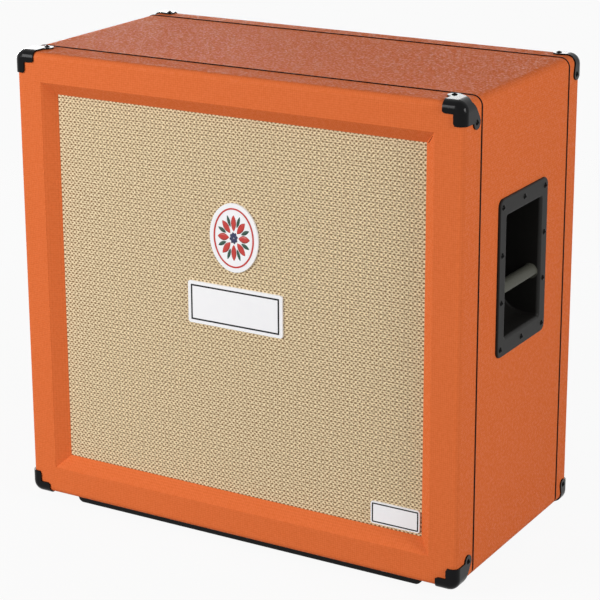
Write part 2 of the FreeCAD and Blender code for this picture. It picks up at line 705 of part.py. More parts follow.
# Recessed bar handle, modelled with its flange's back at x = 0 and its mouth towards +X
def build_handles():
    """One moulding: a flange, a dish with a curved floor and a bar with a flat underside across its mouth."""
    body = new_body("handle")
    sketch = new_sketch(body, "YZ_Plane")
    add_rectangle(sketch, ("-handle_width/2", "handle_width/2"), ("-handle_height/2", "handle_height/2"))
    flange = pad(body, sketch, "handle_flange")
    corners = fillet(body, flange, lambda edge: runs_along(edge, "x"), "handle_corner_radius")
    face = value("handle_flange")
    fillet(body, corners, lambda edge: lies_at(edge, "x", face), "handle_rim_radius")
    sketch = new_sketch(body, "YZ_Plane")
    half_width = f"({MOUTH_WIDTH}/2+dish_wall)"
    half_height = f"({MOUTH_HEIGHT}/2+dish_wall)"
    add_rectangle(sketch, (f"-{half_width}", half_width), (f"-{half_height}", half_height))
    depth = "(dish_depth+dish_wall-handle_flange)"
    pad(body, sketch, depth, reverse=True)
    sketch = new_sketch(body, "YZ_Plane", "handle_flange")
    across, up = (f"-{MOUTH_WIDTH}/2", f"{MOUTH_WIDTH}/2"), (f"-{MOUTH_HEIGHT}/2", f"{MOUTH_HEIGHT}/2")
    add_rectangle(sketch, across, up)
    curved = pocket(body, sketch, "dish_depth")
    for floor, radius in (("handle_flange-dish_depth", "dish_curve"),
                          (f"-{depth}", "dish_curve+dish_wall")):
        level = value(floor)
        curved = fillet(body, curved, lambda edge: runs_along(edge, "y") and lies_at(edge, "x", level),
                        radius)
    side, end = value(f"{MOUTH_WIDTH}/2"), value(f"{MOUTH_HEIGHT}/2")
    dish = fillet(body, curved, lambda edge: any(lies_at(edge, "y", wall) for wall in (-side, side))
                  and edge.BoundBox.XMax < face - CLOSE, "dish_side_radius")

    def round_mouth(edge):
        """Does the edge go round the mouth, on the flange's face?"""
        size = edge.BoundBox
        return (lies_at(edge, "x", face) and max(-size.YMin, size.YMax) < side + CLOSE
                and max(-size.ZMin, size.ZMax) < end + CLOSE)

    fillet(body, dish, round_mouth, "handle_lip_radius")
    bar_x, bar_half = "(handle_flange-bar_sink)", f"(({MOUTH_WIDTH}+dish_wall)/2)"
    bar_round = cylinder("bar_round", "bar_radius", f"2*{bar_half}", (bar_x, f"-{bar_half}", "-bar_drop"),
                         ALONG_Y)
    bar_room = box("bar_room", (f"{bar_x}-bar_radius", f"{bar_x}+bar_radius"), (f"-{bar_half}", bar_half),
                   ("-bar_drop-bar_flat_drop", "bar_radius-bar_drop"))
    moulding = fuse("handle_moulding", [body, common("bar", bar_round, bar_room)])
    through = f"handle_flange+{OVERSHOOT}"
    holes = [cylinder(f"handle_hole_{index}", BORE, through, ("0", y, z), ALONG_X)
             for index, (y, z) in enumerate(handle_screw_places())]
    drilled = cut("handle_drilled", moulding, *holes)
    for name, x, turn in (("right_handle", HALF_WIDTH, None), ("left_handle", f"-{HALF_WIDTH}", HALF_TURN)):
        node(name, copy_at(f"{name}_copy", drilled, x, "0", HANDLE_Z, turn))


def handle_screw_places():
    """Ten screw places on the handle's flange: four down each side and one at each end."""
    side = "(handle_width/2-handle_screw_side)"
    end = "(handle_height/2-handle_screw_end)"
    places = [(f"{across}*{side}", f"{share}*{end}/3")
              for across in (-1, 1) for share in (-3, -1, 1, 3)]
    return places + [("0", end), ("0", f"-{end}")]


# Corner protector, modelled round a corner at the origin: faces towards +X, -Y and +Z
SEAT = "corner_gap"
SKIN = "(corner_gap+corner_thickness)"


def corner_block(name, grow, reach):
    """A block with one rounded corner, with its three faces moved out by grow."""
    body = new_body(name)
    sketch = new_sketch(body, "XZ_Plane", grow)
    add_rectangle(sketch, (f"-({reach})", grow), (f"-({reach})", grow))
    block = pad(body, sketch, f"{reach}+{grow}", reverse=True)
    out = value(grow)
    long_edge = fillet(body, block, lambda edge: lies_at(edge, "x", out) and lies_at(edge, "z", out),
                       f"long_edge_radius+{grow}")

    def on_front(edge):
        """Is the edge on the front face and on the side of the rounded corner?"""
        size, middle = edge.BoundBox, -value(reach) / 2
        return lies_at(edge, "y", -out) and size.XMax > middle and size.ZMax > middle

    fillet(body, long_edge, on_front, f"face_edge_radius+{grow}")
    return body


def corner_protector(kind):
    """A pressed corner: two front legs and two screw lobes that wrap the top and the side."""
    side, depth, radius, slope = (f"{kind}_lobe_{word}" for word in ("side", "depth", "radius", "slope"))
    reach = f"{side}+{depth}+2*{radius}+corner_leg_length"
    shell = cut(f"{kind}_shell", corner_block(f"{kind}_skin", SKIN, reach),
                corner_block(f"{kind}_seat", SEAT, reach))
    out = f"({SKIN}+{OVERSHOOT})"
    legs = new_body(f"{kind}_legs")
    sketch = new_sketch(legs, "XZ_Plane", out)
    add_polygon(sketch, [
        (out, out), ("-corner_leg_length", out), ("-corner_leg_length", "-corner_leg_width"),
        ("-corner_leg_width", "-corner_leg_width"), ("-corner_leg_width", "-corner_leg_length"),
        (out, "-corner_leg_length")])
    legs_pad = pad(legs, sketch, f"face_edge_radius+{out}", reverse=True)
    length, width = value("-corner_leg_length"), value("-corner_leg_width")
    tips = ((length, width), (width, length))
    fillet(legs, legs_pad, lambda edge: any(lies_at(edge, "x", x) and lies_at(edge, "z", z)
                                            for x, z in tips), "corner_leg_round")
    back_line = f"{depth}+{radius}*cos({slope})-({side}-{radius}*sin({slope})+{out})*tan({slope})"
    outline = [(out, f"-{out}"), ("-corner_leg_length", f"-{out}"), (f"-{side}", depth),
               (f"{radius}*sin({slope})-{side}", f"{depth}+{radius}*cos({slope})"), (out, back_line)]
    lobes = []
    for plane, flip in (("XY_Plane", False), ("YZ_Plane", True)):
        body = new_body(f"{kind}_lobe")
        sketch = new_sketch(body, plane, "-long_edge_radius")
        add_polygon(sketch, [(up, across) if flip else (across, up) for across, up in outline])
        pad(body, sketch, f"long_edge_radius+{out}")
        lobes.append(body)
    wrap = f"long_edge_radius+{out}"
    holes = []
    for face, at, turn in (("top", (f"-{side}", depth, "-long_edge_radius"), None),
                           ("side", ("-long_edge_radius", depth, f"-{side}"), ALONG_X)):
        lobes.append(cylinder(f"{kind}_{face}_tip", radius, wrap, at, turn))
        holes.append(cylinder(f"{kind}_{face}_hole", BORE, wrap, at, turn))
    blank = common(f"{kind}_blank", shell, fuse(f"{kind}_outline", [legs] + lobes))
    return cut(f"{kind}_protector", blank, *holes)


def corner_turns(kind):
    """Each corner's place and rotation at the front or the rear of the cabinet."""
    y, turn = (FRONT, FreeCAD.Rotation()) if kind == "front" else (BACK, HALF_TURN)
    for quarter in range(4):
        rotation = FreeCAD.Rotation(FreeCAD.Vector(0, 1, 0), 90 * quarter) * turn
        outward = rotation.multVec(FreeCAD.Vector(1, 0, 1))
        x = HALF_WIDTH if outward.x > 0 else f"-{HALF_WIDTH}"
        z = TOP if outward.z > 0 else BOTTOM
        yield quarter, (x, y, z, rotation)


def build_corners():
    for kind in ("front", "rear"):
        protector = corner_protector(kind)
        copies = [copy_at(f"{kind}_corner_{quarter}", protector, *where)
                  for quarter, where in corner_turns(kind)]
        node(f"{kind}_corners", group(f"{kind}_corner_set", copies))


# Fasteners and their bores, modelled with the head's seat at z = 0 and the head towards +Z
def screw_master(name, length):
    head = doc.addObject("Part::Cone", f"{name}_head")
    bind(head, "Radius1", "screw_head_radius")
    bind(head, "Radius2", "screw_crown_radius")
    bind(head, "Height", "screw_head_height")
    shank = cylinder(f"{name}_shank", "screw_shank_radius", length, ("0", "0", f"-{length}"))
    return fuse(name, [head, shank])


def bore_master(name, length):
    """The hole that a screw of this length takes, open at the head's end."""
    return cylinder(name, BORE, f"{length}+screw_gap+{OVERSHOOT}", ("0", "0", f"-{length}-screw_gap"))


def corner_set(name, master):
    """Two copies at each corner protector."""
    sets = []
    for kind in ("front", "rear"):
        side, depth = f"{kind}_lobe_side", f"{kind}_lobe_depth"
        pair = group(f"{name}_{kind}_pair", [
            copy_at(f"{name}_{kind}_top", master, f"-{side}", depth, SKIN),
            copy_at(f"{name}_{kind}_side", master, SKIN, depth, f"-{side}", ALONG_X)])
        sets += [copy_at(f"{name}_{kind}_{quarter}", pair, *where)
                 for quarter, where in corner_turns(kind)]
    return group(name, sets)


def handle_set(name, master):
    """Ten copies round each handle's flange."""
    right = group(f"{name}_one", [copy_at(f"{name}_{index}", master, "handle_flange", y, z, ALONG_X)
                                  for index, (y, z) in enumerate(handle_screw_places())])
    return group(name, [copy_at(f"{name}_right", right, HALF_WIDTH, "0", HANDLE_Z),
                        copy_at(f"{name}_left", right, f"-{HALF_WIDTH}", "0", HANDLE_Z, HALF_TURN)])


def skid_set(name, master):
    """Four copies along each skid, with their heads sunk below it."""
    return group(name, [copy_at(f"{name}_{row}_{index}", master, x, y, "skid_screw_sink", HEAD_DOWN)
                        for row, y in enumerate(SKID_YS) for index, x in enumerate(skid_screw_places())])


def back_set(name, master):
    """Twelve copies round the back panel and one at the post."""
    across = f"({INNER_HALF}-back_screw_inset)"
    rise = f"({INNER_TOP}-back_screw_inset-{MIDDLE})"
    places = [(f"{share}*{across}/3", f"{MIDDLE}+{up}*{rise}")
              for share in (-3, -1, 1, 3) for up in (-1, 1)]
    places += [(f"{side}*{across}", f"{MIDDLE}+{share}*{rise}/3")
               for side in (-1, 1) for share in (-1, 1)]
    places.append(("0", MIDDLE))
    return group(name, [copy_at(f"{name}_{index}", master, x, BACK_OUTSIDE, z, ALONG_Y)
                        for index, (x, z) in enumerate(places)])


def input_screw_places():
    """Four screw places at the corners of the input dish's flange, from its middle."""
    side, end = "(input_width/2-input_screw_inset)", "(input_height/2-input_screw_inset)"
    return [(f"{across}*{side}", f"{up}*{end}") for across in (-1, 1) for up in (-1, 1)]


def input_set(name, master):
    """Four copies at the corners of the input dish's flange."""
    face = f"{BACK_OUTSIDE}+input_flange"
    return group(name, [copy_at(f"{name}_{index}", master, x, face, f"{INPUT_Z}+{z}", ALONG_Y)
                        for index, (x, z) in enumerate(input_screw_places())])


def build_screws():
    short = screw_master("screw", "screw_length")
    long = screw_master("long_screw", "long_screw_length")
    node("corner_screws", corner_set("corner_screws", short))
    node("handle_screws", handle_set("handle_screws", short))
    node("skid_screws", skid_set("skid_screws", long))
    rear_sets = [back_set("panel_screws", long), input_set("input_screws", short)]
    node("back_screws", group("back_screws", rear_sets))


# Speakers, modelled about the Y axis with the frame's front face at y = 0 and the magnet towards +Y
def speaker_centres():
    return [(f"{across}*{SPEAKER_PITCH_ACROSS}/2", f"{MIDDLE}+{up}*{SPEAKER_PITCH_UP}/2")
            for up in (1, -1) for across in (-1, 1)]


def bolt_places():
    """Four bolt places round a speaker, on its diagonals."""
    step = f"({SPEAKER_RADIUS}-bolt_inset)/sqrt(2)"
    return [(f"{across}*{step}", f"{up}*{step}") for across in (-1, 1) for up in (-1, 1)]


def build_bolt_holes():
    """Holes and head recesses for the speaker bolts, at every speaker."""
    tools = []
    for index, (x, z) in enumerate(bolt_places()):
        at = (x, BAFFLE_FRONT, z)
        tools.append(cylinder(f"bolt_bore_{index}", BOLT_BORE, f"baffle_thickness+{OVERSHOOT}", at, ALONG_Y))
        tools.append(cylinder(f"bolt_recess_{index}", "bolt_head_radius+bolt_gap", "bolt_head_height",
                              at, ALONG_Y))
    master = fuse("bolt_hole_set", tools)
    return [copy_at(f"bolt_holes_{index}", master, x, "0", z)
            for index, (x, z) in enumerate(speaker_centres())]


def basket():
    """Pressed basket: flange, wall, shoulder, sloping arms with windows, spider seat and cup."""
    floor = "basket_depth-basket_sheet"
    inside = [(SPEAKER_RADIUS, "0"), (BASKET_WALL, "0"), (BASKET_WALL, "basket_wall_depth"),
              (BASKET_SHOULDER, "basket_wall_depth"), ("spider_seat_radius", "spider_seat_depth"),
              ("basket_cup_radius", "spider_seat_depth"), ("basket_cup_radius", floor),
              ("basket_floor_radius", floor)]
    outside = [("basket_floor_radius", "basket_depth"), ("basket_cup_radius+basket_sheet", "basket_depth")]
    outside += [(f"{radius}+basket_sheet", f"{depth}+basket_sheet")
                for radius, depth in reversed(inside[1:6])]
    outside.append((SPEAKER_RADIUS, "basket_sheet"))
    body = turned("basket", inside + outside)
    sketch = new_sketch(body, "XZ_Plane")
    low, high = "(spider_seat_radius+window_margin)", f"({BASKET_SHOULDER}-window_margin)"
    lean = "tan(window_half_angle)"
    add_polygon(sketch, [(f"-{low}*{lean}", low), (f"{low}*{lean}", low),
                         (f"{high}*{lean}", high), (f"-{high}*{lean}", high)])
    polar(body, pocket(body, sketch), "Y_Axis", "window_count")
    through = f"basket_sheet+2*{OVERSHOOT}"
    return cut("basket_drilled", body, *[
        cylinder(f"basket_bore_{index}", BOLT_BORE, through, (x, f"-{OVERSHOOT}", z), ALONG_Y)
        for index, (x, z) in enumerate(bolt_places())])


def magnet():
    """Top plate, ring magnet and yoke with its pole."""
    plate_back = "(basket_depth+top_plate_thickness)"
    ring_back = f"({plate_back}+magnet_thickness)"
    yoke_back = f"({ring_back}+yoke_thickness)"
    return group("magnet", [
        turned("top_plate", [(GAP_OUTSIDE, "basket_depth"), ("top_plate_radius", "basket_depth"),
                             ("top_plate_radius", plate_back), (GAP_OUTSIDE, plate_back)]),
        turned("ring_magnet", [("magnet_hole_radius", plate_back), ("magnet_radius", plate_back),
                               ("magnet_radius", ring_back), ("magnet_hole_radius", ring_back)]),
        turned("yoke", [("0", "basket_depth"), ("pole_radius", "basket_depth"), ("pole_radius", ring_back),
                        ("yoke_radius", ring_back), ("yoke_radius", yoke_back), ("0", yoke_back)])])


def voice_coil():
    end = "(basket_depth+top_plate_thickness+coil_overhang)"
    return turned("voice_coil", [(COIL_INSIDE, "coil_front"), (COIL_OUTSIDE, "coil_front"),
                                 (COIL_OUTSIDE, end), (COIL_INSIDE, end)])


def cone():
    """Paper cone with a flat rim for the surround."""
    back = "+cone_paper"
    front = [(CONE_RIM, "cone_edge_depth"), (CONE_EDGE, "cone_edge_depth"), (CONE_NECK, "cone_neck_depth")]
    return turned("cone", front + [(radius, depth + back) for radius, depth in reversed(front)])


def dust_cap():
    """A shallow dome glued to the cone."""
    ball_radius = "((cap_radius^2+cap_height^2)/(2*cap_height))"
    slope = f"((cone_neck_depth-cone_edge_depth)/({CONE_EDGE}-{CONE_NECK}))"
    rim = f"(cone_edge_depth+({CONE_EDGE}-cap_radius)*{slope}-glue_gap)"
    centre = f"({rim}-cap_height+{ball_radius})"
    balls = []
    for name, radius in (("cap_outside", ball_radius), ("cap_inside", f"{ball_radius}-cap_paper")):
        ball = doc.addObject("Part::Sphere", name)
        bind(ball, "Radius", radius)
        balls.append(place(ball, y=centre, turn=ALONG_Y))
    keep = cylinder("cap_keep", f"cap_radius+{OVERSHOOT}", f"cap_height+{OVERSHOOT}",
                    ("0", f"{rim}-cap_height-{OVERSHOOT}", "0"), ALONG_Y)
    return common("dust_cap", cut("cap_shell", *balls), keep)


def surround():
    """One roll between the cone's rim and the basket's flange."""
    rim_front = "(cone_edge_depth-glue_gap-roll_sheet)"
    start, end = CONE_RIM, f"({BASKET_WALL}-roll_margin)"
    middle = f"(({start}+{end})/2)"
    front = [(CONE_EDGE, rim_front), (start, rim_front), (middle, f"{rim_front}-roll_height"),
             (end, "-roll_sheet"), (f"{SPEAKER_HOLE}-surround_margin", "-roll_sheet")]
    back = [(radius, f"{depth}+roll_sheet") for radius, depth in reversed(front)]
    return turned("surround", front + back)


def spider():
    """Corrugated disc between the voice coil and the basket's seat."""
    level = "(spider_seat_depth-spider_sheet)"
    start, end = CONE_NECK, "basket_cup_radius"
    front = [(start, level)]
    for step in range(1, int(value("spider_wave_count"))):
        lift = "spider_wave" if step % 2 else "(-spider_wave)"
        front.append((f"{start}+{step}*({end}-{start})/spider_wave_count", f"{level}-{lift}"))
    front += [(end, level), ("spider_seat_radius-spider_margin", level)]
    back = [(radius, f"{depth}+spider_sheet") for radius, depth in reversed(front)]
    return turned("spider", front + back)


def gasket():
    """Ring between the baffle and the basket's flange, drilled for the bolts."""
    inner = f"({SPEAKER_HOLE}-gasket_gap)"
    ring = turned("gasket", [(inner, "-gasket_thickness"), (SPEAKER_RADIUS, "-gasket_thickness"),
                             (SPEAKER_RADIUS, "0"), (inner, "0")])
    start, through = f"-gasket_thickness-{OVERSHOOT}", f"gasket_thickness+2*{OVERSHOOT}"
    return cut("gasket_drilled", ring, *[
        cylinder(f"gasket_bore_{index}", BOLT_BORE, through, (x, start, z), ALONG_Y)
        for index, (x, z) in enumerate(bolt_places())])


def bolts():
    """Four bolts with their nuts behind the basket's flange."""
    through = "(baffle_thickness+gasket_thickness+basket_sheet)"
    start = "(-gasket_thickness-baffle_thickness)"
    sets = []
    for index, (x, z) in enumerate(bolt_places()):
        at = (x, start, z)
        head = cylinder(f"bolt_head_{index}", "bolt_head_radius", "bolt_head_height", at, ALONG_Y)
        shank = cylinder(f"bolt_shank_{index}", "bolt_radius", f"{through}+nut_thickness+bolt_tail",
                         at, ALONG_Y)
        nut = doc.addObject("Part::Prism", f"bolt_nut_{index}")
        nut.Polygon = 6
        bind(nut, "Circumradius", "nut_radius")
        bind(nut, "Height", "nut_thickness")
        place(nut, x, "basket_sheet", z, ALONG_Y)
        sets.append(fuse(f"bolt_{index}", [head, shank, nut]))
    return group("bolts", sets)


def terminal():
    """Tag strip on the rear of the basket's shoulder, with two tags."""
    seat = "(basket_wall_depth+basket_sheet)"
    radius = f"(({BASKET_SHOULDER}+{BASKET_WALL})/2)"
    strip = box("terminal_strip", (f"{radius}-terminal_height/2", f"{radius}+terminal_height/2"),
                (seat, f"{seat}+terminal_thickness"), ("-terminal_width/2", "terminal_width/2"))
    tag_x, tag_y = (f"{radius}-tag_width/2", f"{radius}+tag_width/2"), (seat, f"{seat}+tag_length")
    tags = [box(f"terminal_tag_{row}", tag_x, tag_y, (f"{middle}-tag_sheet/2", f"{middle}+tag_sheet/2"))
            for row, middle in enumerate(("-tag_spacing/2", "tag_spacing/2"))]
    return fuse("terminal", [strip] + tags)


def build_speakers():
    """Four speakers, each with its own basket, magnet and moving pieces."""
    masters = {"basket": basket(), "magnet": magnet(), "voice_coil": voice_coil(), "cone": cone(),
               "dust_cap": dust_cap(), "surround": surround(), "spider": spider()}
    shared = {"speaker_gaskets": gasket(), "speaker_bolts": bolts(), "speaker_terminals": terminal()}
    sets = {name: [] for name in shared}
    for number, (x, z) in enumerate(speaker_centres(), start=1):
        for name, master in masters.items():
            node(f"{name}_{number}", copy_at(f"{name}_copy_{number}", master, x, SPEAKER_FACE, z))
        on_left = number % 2 == 1
        for name, master in shared.items():
            turn = None if on_left else HALF_TURN_ABOUT_Y
            sets[name].append(copy_at(f"{name}_copy_{number}", master, x, SPEAKER_FACE, z, turn))
    for name, copies in sets.items():
        node(name, group(f"{name}_set", copies))


# Input dish and jack sockets, modelled with the flange's seat at y = 0 and the mouth towards +Y
def build_input():
    """A dish in the back panel, and two jacks held to its floor by their nuts."""
    body = new_body("input_dish")
    sketch = new_sketch(body, "XZ_Plane")
    add_rectangle(sketch, ("-input_width/2", "input_width/2"), ("-input_height/2", "input_height/2"))
    flange = pad(body, sketch, "input_flange", reverse=True)
    fillet(body, flange, lambda edge: runs_along(edge, "y"), "input_corner_radius")
    half_width, half_height = "(input_mouth_width/2+input_wall)", "(input_mouth_height/2+input_wall)"
    sketch = new_sketch(body, "XZ_Plane")
    add_rectangle(sketch, (f"-{half_width}", half_width), (f"-{half_height}", half_height))
    pad(body, sketch, "input_depth+input_wall-input_flange")
    sketch = new_sketch(body, "XZ_Plane", "-input_flange")
    add_rectangle(sketch, ("-input_mouth_width/2", "input_mouth_width/2"),
                  ("-input_mouth_height/2", "input_mouth_height/2"))
    pocket(body, sketch, "input_depth", reverse=True)
    floor = "(input_flange-input_depth)"
    jack_xs = ("-jack_spacing/2", "jack_spacing/2")
    start, through = f"{floor}-input_wall-{OVERSHOOT}", f"input_wall+2*{OVERSHOOT}"
    holes = [cylinder(f"jack_hole_{index}", "jack_bush_radius+jack_gap", through, (x, start, "0"), ALONG_Y)
             for index, x in enumerate(jack_xs)]
    holes += [cylinder(f"input_hole_{index}", BORE, f"input_flange+{OVERSHOOT}", (x, "0", z), ALONG_Y)
              for index, (x, z) in enumerate(input_screw_places())]
    drilled = cut("input_drilled", body, *holes)
    node("input_dish", copy_at("input_dish_copy", drilled, "0", BACK_OUTSIDE, INPUT_Z))
    back = f"({floor}-input_wall)"
    end = f"({back}-jack_body_length)"
    tip = f"({floor}+jack_bush_length)"
    jack = turned("jack", [("jack_bore_radius", end), ("jack_body_radius", end), ("jack_body_radius", back),
                           ("jack_bush_radius", back), ("jack_bush_radius", tip), ("jack_bore_radius", tip)])
    nut_inside = "(jack_bush_radius+jack_gap)"
    nut_front = f"({floor}+jack_nut_thickness)"
    nut = turned("jack_nut", [(nut_inside, floor), ("jack_nut_radius", floor),
                              ("jack_nut_radius", nut_front), (nut_inside, nut_front)])
    node("jack_sockets", group("jack_set", [
        copy_at(f"{piece.Name}_{index}", piece, x, BACK_OUTSIDE, INPUT_Z)
        for piece in (jack, nut) for index, x in enumerate(jack_xs)]))


# Leads inside the cabinet, as tubes along straight runs joined by tangent arcs
def lead(name, corners):
    """A round lead through corner points given by formulas, with each corner rounded to the same bend."""
    points = [FreeCAD.Vector(*(value(formula) for formula in corner)) for corner in corners]
    bend = value("lead_bend")
    edges = []
    start = points[0]
    for before, corner, after in zip(points, points[1:], points[2:]):
        inward, onward = (corner - before).normalize(), (after - corner).normalize()
        turn = inward.getAngle(onward)
        reach = bend * math.tan(turn / 2)
        arc_start, arc_end = corner - inward * reach, corner + onward * reach
        to_centre = (onward - inward).normalize()
        crown = corner + to_centre * (bend / math.cos(turn / 2) - bend)
        edges.append(Part.LineSegment(start, arc_start).toShape())
        edges.append(Part.Arc(arc_start, crown, arc_end).toShape())
        start = arc_end
    edges.append(Part.LineSegment(start, points[-1]).toShape())
    first_run = points[1] - points[0]
    section = Part.Wire(Part.makeCircle(value("lead_radius"), points[0], first_run))
    obj = doc.addObject("Part::Feature", name)
    obj.Shape = Part.Wire(edges).makePipeShell([section], True, False)
    return obj


def build_leads():
    """Two leads from the jacks to the lower speakers, and one on from each to the speaker above."""
    leads = []
    jack_end = f"({BACK_OUTSIDE}+input_flange-input_depth-input_wall-jack_body_length)"
    tag_end = f"({SPEAKER_FACE}+basket_wall_depth+basket_sheet+tag_length)"
    tag_x = f"({SPEAKER_PITCH_ACROSS}/2-({BASKET_SHOULDER}+{BASKET_WALL})/2)"
    low, high = (f"({MIDDLE}+{up}*{SPEAKER_PITCH_UP}/2)" for up in (-1, 1))
    tag_step = "tag_spacing/2"
    jack_wall = "(jack_bore_radius+jack_body_radius)/2"
    for index, side in enumerate((-1, 1)):
        jack_x, jack_z = f"{side}*jack_spacing/2", f"{INPUT_Z}-{jack_wall}"
        x, z = f"{side}*{tag_x}", f"{low}-{tag_step}"
        leads.append(lead(f"jack_lead_{index}", [
            (jack_x, jack_end, jack_z), (jack_x, f"{jack_end}-2*lead_slack", jack_z),
            (x, f"{tag_end}+2*lead_slack", z), (x, tag_end, z)]))
        leads.append(lead(f"link_lead_{index}", [
            (x, tag_end, f"{low}+{tag_step}"), (x, f"{tag_end}+lead_slack", f"{low}+{tag_step}"),
            (x, f"{tag_end}+lead_slack", f"{high}-{tag_step}"), (x, tag_end, f"{high}-{tag_step}")]))
    node("speaker_leads", group("lead_set", leads))


# Plates on the grille cloth
def build_plates():
    """A name plate in the middle, an oval medallion above it and a small plate in the corner."""
    opening_half = f"({HALF_WIDTH}-{FRAME_WIDTH})"
    small_x = f"({opening_half}-small_plate_side-small_plate_width/2)"
    small_z = f"({BOTTOM}+{FRAME_WIDTH}+small_plate_lift+small_plate_height/2)"
    plates = []
    name_z = f"({MIDDLE}+name_plate_lift)"
    for name, x, z in (("name_plate", "0", name_z), ("small_plate", small_x, small_z)):
        body = new_body(name)
        sketch = new_sketch(body, "XZ_Plane", f"-{CLOTH_FRONT}")
        add_rectangle(sketch, (f"{x}-{name}_width/2", f"{x}+{name}_width/2"),
                      (f"{z}-{name}_height/2", f"{z}+{name}_height/2"))
        plate = pad(body, sketch, "plate_thickness")
        fillet(body, plate, lambda edge: runs_along(edge, "y"), "plate_corner_radius")
        plates.append(body)
    oval = doc.addObject("Part::Ellipse", "medallion_outline")
    bind(oval, "MajorRadius", "medallion_height/2")
    bind(oval, "MinorRadius", "medallion_width/2")
    place(oval, "0", CLOTH_FRONT, f"{MIDDLE}+medallion_lift", UPRIGHT)
    medallion = doc.addObject("Part::Extrusion", "medallion")
    medallion.Base = oval
    medallion.DirMode = "Custom"
    medallion.Dir = FreeCAD.Vector(0, -1, 0)
    medallion.Solid = True
    bind(medallion, "LengthFwd", "plate_thickness")
    plates.append(medallion)
    node("badge_plates", group("badge_plate_set", plates))


short_bore = bore_master("short_bore", "screw_length")
long_bore = bore_master("long_bore", "long_screw_length")
corner_bores = corner_set("corner_bores", short_bore)
handle_bores = handle_set("handle_bores", short_bore)
skid_bores = skid_set("skid_bores", long_bore)
back_bores = back_set("back_bores", long_bore)
input_bores = input_set("input_bores", short_bore)
bolt_holes = build_bolt_holes()
build_panels()
build_front_frame()
build_vinyl()
build_piping()
build_boards()
build_skids()
build_handles()
build_corners()
build_screws()
build_speakers()
build_input()
build_leads()
build_plates()
doc.recompute()

# Nothing is written unless every object came out sound
for obj in doc.Objects:
    if {"Invalid", "Error"} & set(obj.State):
        raise RuntimeError(f"{obj.Name} failed: {obj.State}")
for name, obj in nodes.items():
    if obj.Shape.isNull() or not obj.Shape.isValid() or not obj.Shape.Solids:
        raise RuntimeError(f"{name} has no sound shape")

os.makedirs("parts", exist_ok=True)
for name, obj in nodes.items():
    obj.Shape.exportStep(f"parts/{name}.step")
print(f"{len(nodes)} nodes, {sum(len(obj.Shape.Solids) for obj in nodes.values())} solids")
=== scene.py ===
# %% [markdown]
# # A guitar speaker cabinet, dressed for its portrait
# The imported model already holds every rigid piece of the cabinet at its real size: plywood, vinyl,
# handles, corners, speakers. Here we only give it its looks. Loading the model first means that each
# new piece can be placed from a measured box instead of by eye, so we also keep the bounds of the
# untouched model, to compare with at the end.

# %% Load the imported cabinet
import math

import bmesh
import bpy
from mathutils import Matrix, Vector


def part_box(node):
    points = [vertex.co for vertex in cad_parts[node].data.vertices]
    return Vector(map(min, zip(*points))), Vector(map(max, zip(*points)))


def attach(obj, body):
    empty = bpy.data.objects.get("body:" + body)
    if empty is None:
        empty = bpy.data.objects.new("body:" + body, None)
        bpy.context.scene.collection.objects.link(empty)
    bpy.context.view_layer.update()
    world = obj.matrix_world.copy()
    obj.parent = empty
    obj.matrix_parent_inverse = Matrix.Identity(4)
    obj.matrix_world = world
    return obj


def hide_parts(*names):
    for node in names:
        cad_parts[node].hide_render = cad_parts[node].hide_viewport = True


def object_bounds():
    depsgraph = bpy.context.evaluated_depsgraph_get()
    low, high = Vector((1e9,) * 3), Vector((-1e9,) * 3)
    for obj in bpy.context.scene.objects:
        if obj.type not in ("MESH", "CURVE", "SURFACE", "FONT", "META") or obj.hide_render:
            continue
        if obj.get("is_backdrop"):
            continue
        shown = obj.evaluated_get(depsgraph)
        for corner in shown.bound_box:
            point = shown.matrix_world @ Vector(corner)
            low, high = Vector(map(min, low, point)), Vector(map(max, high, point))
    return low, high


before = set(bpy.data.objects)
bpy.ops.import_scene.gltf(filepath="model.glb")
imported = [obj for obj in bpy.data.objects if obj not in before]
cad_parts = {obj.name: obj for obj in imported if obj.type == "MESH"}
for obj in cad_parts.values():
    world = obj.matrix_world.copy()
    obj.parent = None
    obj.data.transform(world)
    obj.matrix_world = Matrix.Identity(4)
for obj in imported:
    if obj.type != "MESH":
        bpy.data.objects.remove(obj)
cad_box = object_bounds()
MM = 0.001

# %% [markdown]
# ## Two small helpers for every material
# A paint shop mixes colours by the sRGB value that a screen shows, while a renderer adds light in
# linear numbers, so one function turns the first into the second. The other function adds a shader
# node, sets its options and fills its sockets with numbers or links. With those two, each finish below
# reads as a short list of nodes.

# %% Colour and node helpers
TURN = 2 * math.pi


def linear(hex_colour):
    """Turn an sRGB hex colour into linear red, green, blue and alpha."""
    shown = [int(hex_colour[start:start + 2], 16) / 255 for start in (1, 3, 5)]
    light = [c / 12.92 if c <= 0.04045 else ((c + 0.055) / 1.055) ** 2.4 for c in shown]
    return (*light, 1.0)


def add(tree, kind, sockets=None, **settings):
    """Add a node, apply its settings, then fill each named socket with a value or a link."""
    made = tree.nodes.new(kind)
    for setting, value in settings.items():
        setattr(made, setting, value)
    for socket, value in (sockets or {}).items():
        if isinstance(value, bpy.types.NodeSocket):
            tree.links.new(value, made.inputs[socket])
        else:
            made.inputs[socket].default_value = value
    return made


print("mid grey in linear light:", [round(c, 3) for c in linear("#808080")[:3]])

# %% [markdown]
# ## What the finishes share
# Almost every surface on a cabinet is one of three things: a plain base, a slow drift of its colour
# from uneven pigment, and a fine grain that breaks up the gloss. The base is set on the shader itself,
# so that it survives an export. The drift and the grain come from noise whose size is given in
# millimetres of the real thing.

# %% Base finish, colour drift and grain
BUMP_STRENGTH = 0.6


